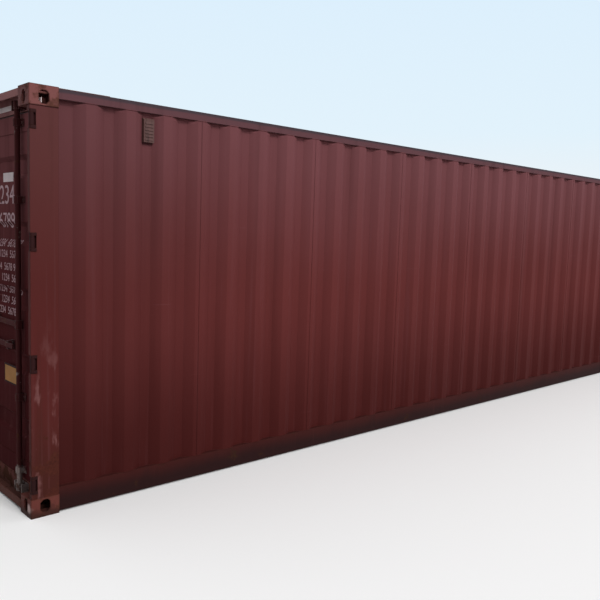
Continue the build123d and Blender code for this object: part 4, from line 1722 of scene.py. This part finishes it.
@dataclass
class Studio:
    """Pale floor, plain soft light, and the camera at the photograph's place.

    Attributes:
        place: Where the camera stands.
        yaw: The way it looks, from +X towards +Y, in degrees.
        pitch: How far it looks up, in degrees.
        roll: How far it leans, in degrees.
        focal: Focal length in pixels of the photograph.
        picture: Width of the photograph in pixels.
        sensor: Width of the camera's sensor in millimetres.
        sight: How far the camera sees.
        sun_strength: Strength of the lamp.
        sun_angle: Its width in degrees.
        sun_colour: Its colour.
        sun_towards: The way its light falls.
        sky_strength: Mean strength of the light from all round.
        sky_colour: Colour of that light.
        sky_lean: How much stronger that light is from one side.
        sky_tones: Background colours, by the sine of their height.
        floor_half: Half the floor's width.
        floor_fade: Distances between which the floor darkens.
        floor_near: Its colour near the container.
        floor_far: Its colour far away.
        floor_bounce: Its colour to rays that only light.
    """

    place: Place = (-7.705, -5.288, 1.796)
    yaw: float = 47.16
    pitch: float = -5.64
    roll: float = 1.86
    focal: float = 697.9
    picture: float = 600.0
    sensor: float = 36.0
    sight: float = 500.0
    sun_strength: float = 2.38
    sun_angle: float = 24.0
    sun_colour: Colour = (1.0, 0.985, 0.97)
    sun_towards: Place = (-0.03, 0.82, -0.57)
    sky_strength: float = 0.62
    sky_colour: Colour = (0.98, 0.99, 1.0)
    sky_lean: Place = (0.29, 0.18, 0.06)
    sky_tones: tuple[tuple[float, str], ...] = ((0.0, "#f2f3f3"), (0.14, "#e2f2fc"), (0.32, "#dceffd"))
    floor_half: float = 150.0
    floor_fade: Span = (9.0, 40.0)
    floor_near: Colour = (0.91, 0.915, 0.92)
    floor_far: Colour = (0.80, 0.805, 0.81)
    floor_bounce: Colour = (0.15, 0.145, 0.145)

    def build(self) -> None:
        """Makes the camera, the lamp, the sky and the floor."""
        bpy.context.scene.view_settings.view_transform = "Standard"
        self._camera()
        self._sun()
        self._sky()
        self._floor()

    @staticmethod
    def _stand(name: str, data: bpy.types.ID) -> bpy.types.Object:
        """Puts a camera, a lamp or a mesh into the scene.

        Args:
            name: Its name.
            data: What it shows.

        Returns:
            The object that holds it.
        """
        made = bpy.data.objects.new(name, data)
        bpy.context.scene.collection.objects.link(made)
        return made

    def _camera(self) -> None:
        """Stands the camera where the photograph was taken."""
        yaw, pitch, roll = (math.radians(v) for v in (self.yaw, self.pitch, self.roll))
        ahead = Vector((math.cos(yaw) * math.cos(pitch), math.sin(yaw) * math.cos(pitch), math.sin(pitch)))
        right = Vector((math.sin(yaw), -math.cos(yaw), 0.0))
        up = right.cross(ahead)
        level = Matrix((right, up, -ahead)).transposed()
        lean = Matrix.Rotation(roll, 3, "Z")
        data = bpy.data.cameras.new("camera")
        data.sensor_width = self.sensor
        data.lens = self.focal / self.picture * self.sensor
        data.clip_end = self.sight
        camera = self._stand("camera", data)
        camera.matrix_world = Matrix.Translation(self.place) @ (level @ lean).to_4x4()
        bpy.context.scene.camera = camera

    def _sun(self) -> None:
        """Hangs a soft sun over the long side."""
        data = bpy.data.lights.new("sun", "SUN")
        data.energy = self.sun_strength
        data.angle = math.radians(self.sun_angle)
        data.color = self.sun_colour
        sun = self._stand("sun", data)
        sun.rotation_euler = Vector(self.sun_towards).to_track_quat("-Z", "Y").to_euler()

    @staticmethod
    def _seen(r: Recipe) -> Signal:
        """Tells rays that are seen from rays that only light.

        Args:
            r: The recipe.

        Returns:
            1 for the camera's rays, reflections and sights through glass, and 0 for the rest.
        """
        rays = r.node("ShaderNodeLightPath").socket.node.outputs
        kinds = ("Camera", "Glossy", "Transmission")
        direct, glossy, through = (Signal(r, rays[f"Is {kind} Ray"]) for kind in kinds)
        return direct.largest(glossy).largest(through)

    def _sky(self) -> None:
        """Lights from all round, and shows a pale gradient to the camera and in reflections."""
        world = bpy.data.worlds.new("sky")
        bpy.context.scene.world = world
        r = Recipe(world, "Generated")
        stops = [(place, linear(tone)) for place, tone in self.sky_tones]
        shown = r.node("ShaderNodeValToRGB", {"stops": stops}, {0: r.z})
        strength = self.sky_strength + r.dot(r.here, self.sky_lean)
        lit = r.node("ShaderNodeBackground", inputs={0: self.sky_colour, 1: strength})
        sky = r.node("ShaderNodeBackground", inputs={0: shown, 1: 1.0})
        mixed = r.node("ShaderNodeMixShader", inputs={0: self._seen(r), 1: lit, 2: sky})
        r.node("ShaderNodeOutputWorld", inputs={"Surface": mixed})

    def _floor(self) -> None:
        """Lays a pale floor that bounces little light upwards."""
        shape = bmesh.new()
        bmesh.ops.create_grid(shape, x_segments=1, y_segments=1, size=self.floor_half)
        mesh = bpy.data.meshes.new("floor_stage")
        shape.to_mesh(mesh)
        shape.free()
        r = Recipe.material("floor_stage_finish")
        away = r.node("ShaderNodeVectorMath", {"operation": "LENGTH"}, {0: r.here}, "Value")
        tone = r.blend(r.mask(away, *self.floor_fade), self.floor_near, self.floor_far)
        pale = r.node("ShaderNodeBsdfDiffuse", inputs={0: tone})
        dim = r.node("ShaderNodeBsdfDiffuse", inputs={0: self.floor_bounce})
        mixed = r.node("ShaderNodeMixShader", inputs={0: self._seen(r), 1: dim, 2: pale})
        r.node("ShaderNodeOutputMaterial", inputs={"Surface": mixed})
        mesh.materials.append(r.owner)
        floor = self._stand("floor_stage", mesh)


def main() -> None:
    """Builds the stage and dresses the container."""
    logging.basicConfig(level=logging.INFO, format="%(message)s")
    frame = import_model()
    Studio().build()
    finishes = Finishes()
    finishes.dress(frame)
    for assembly in (WallWelds, RoofWelds, PostWelds, VentTrim, LockFasteners, SealStrips, CargoFloor):
        assembly(finishes).build()
    DoorMarks(finishes).build(frame)


if __name__ == "__main__":
    main()
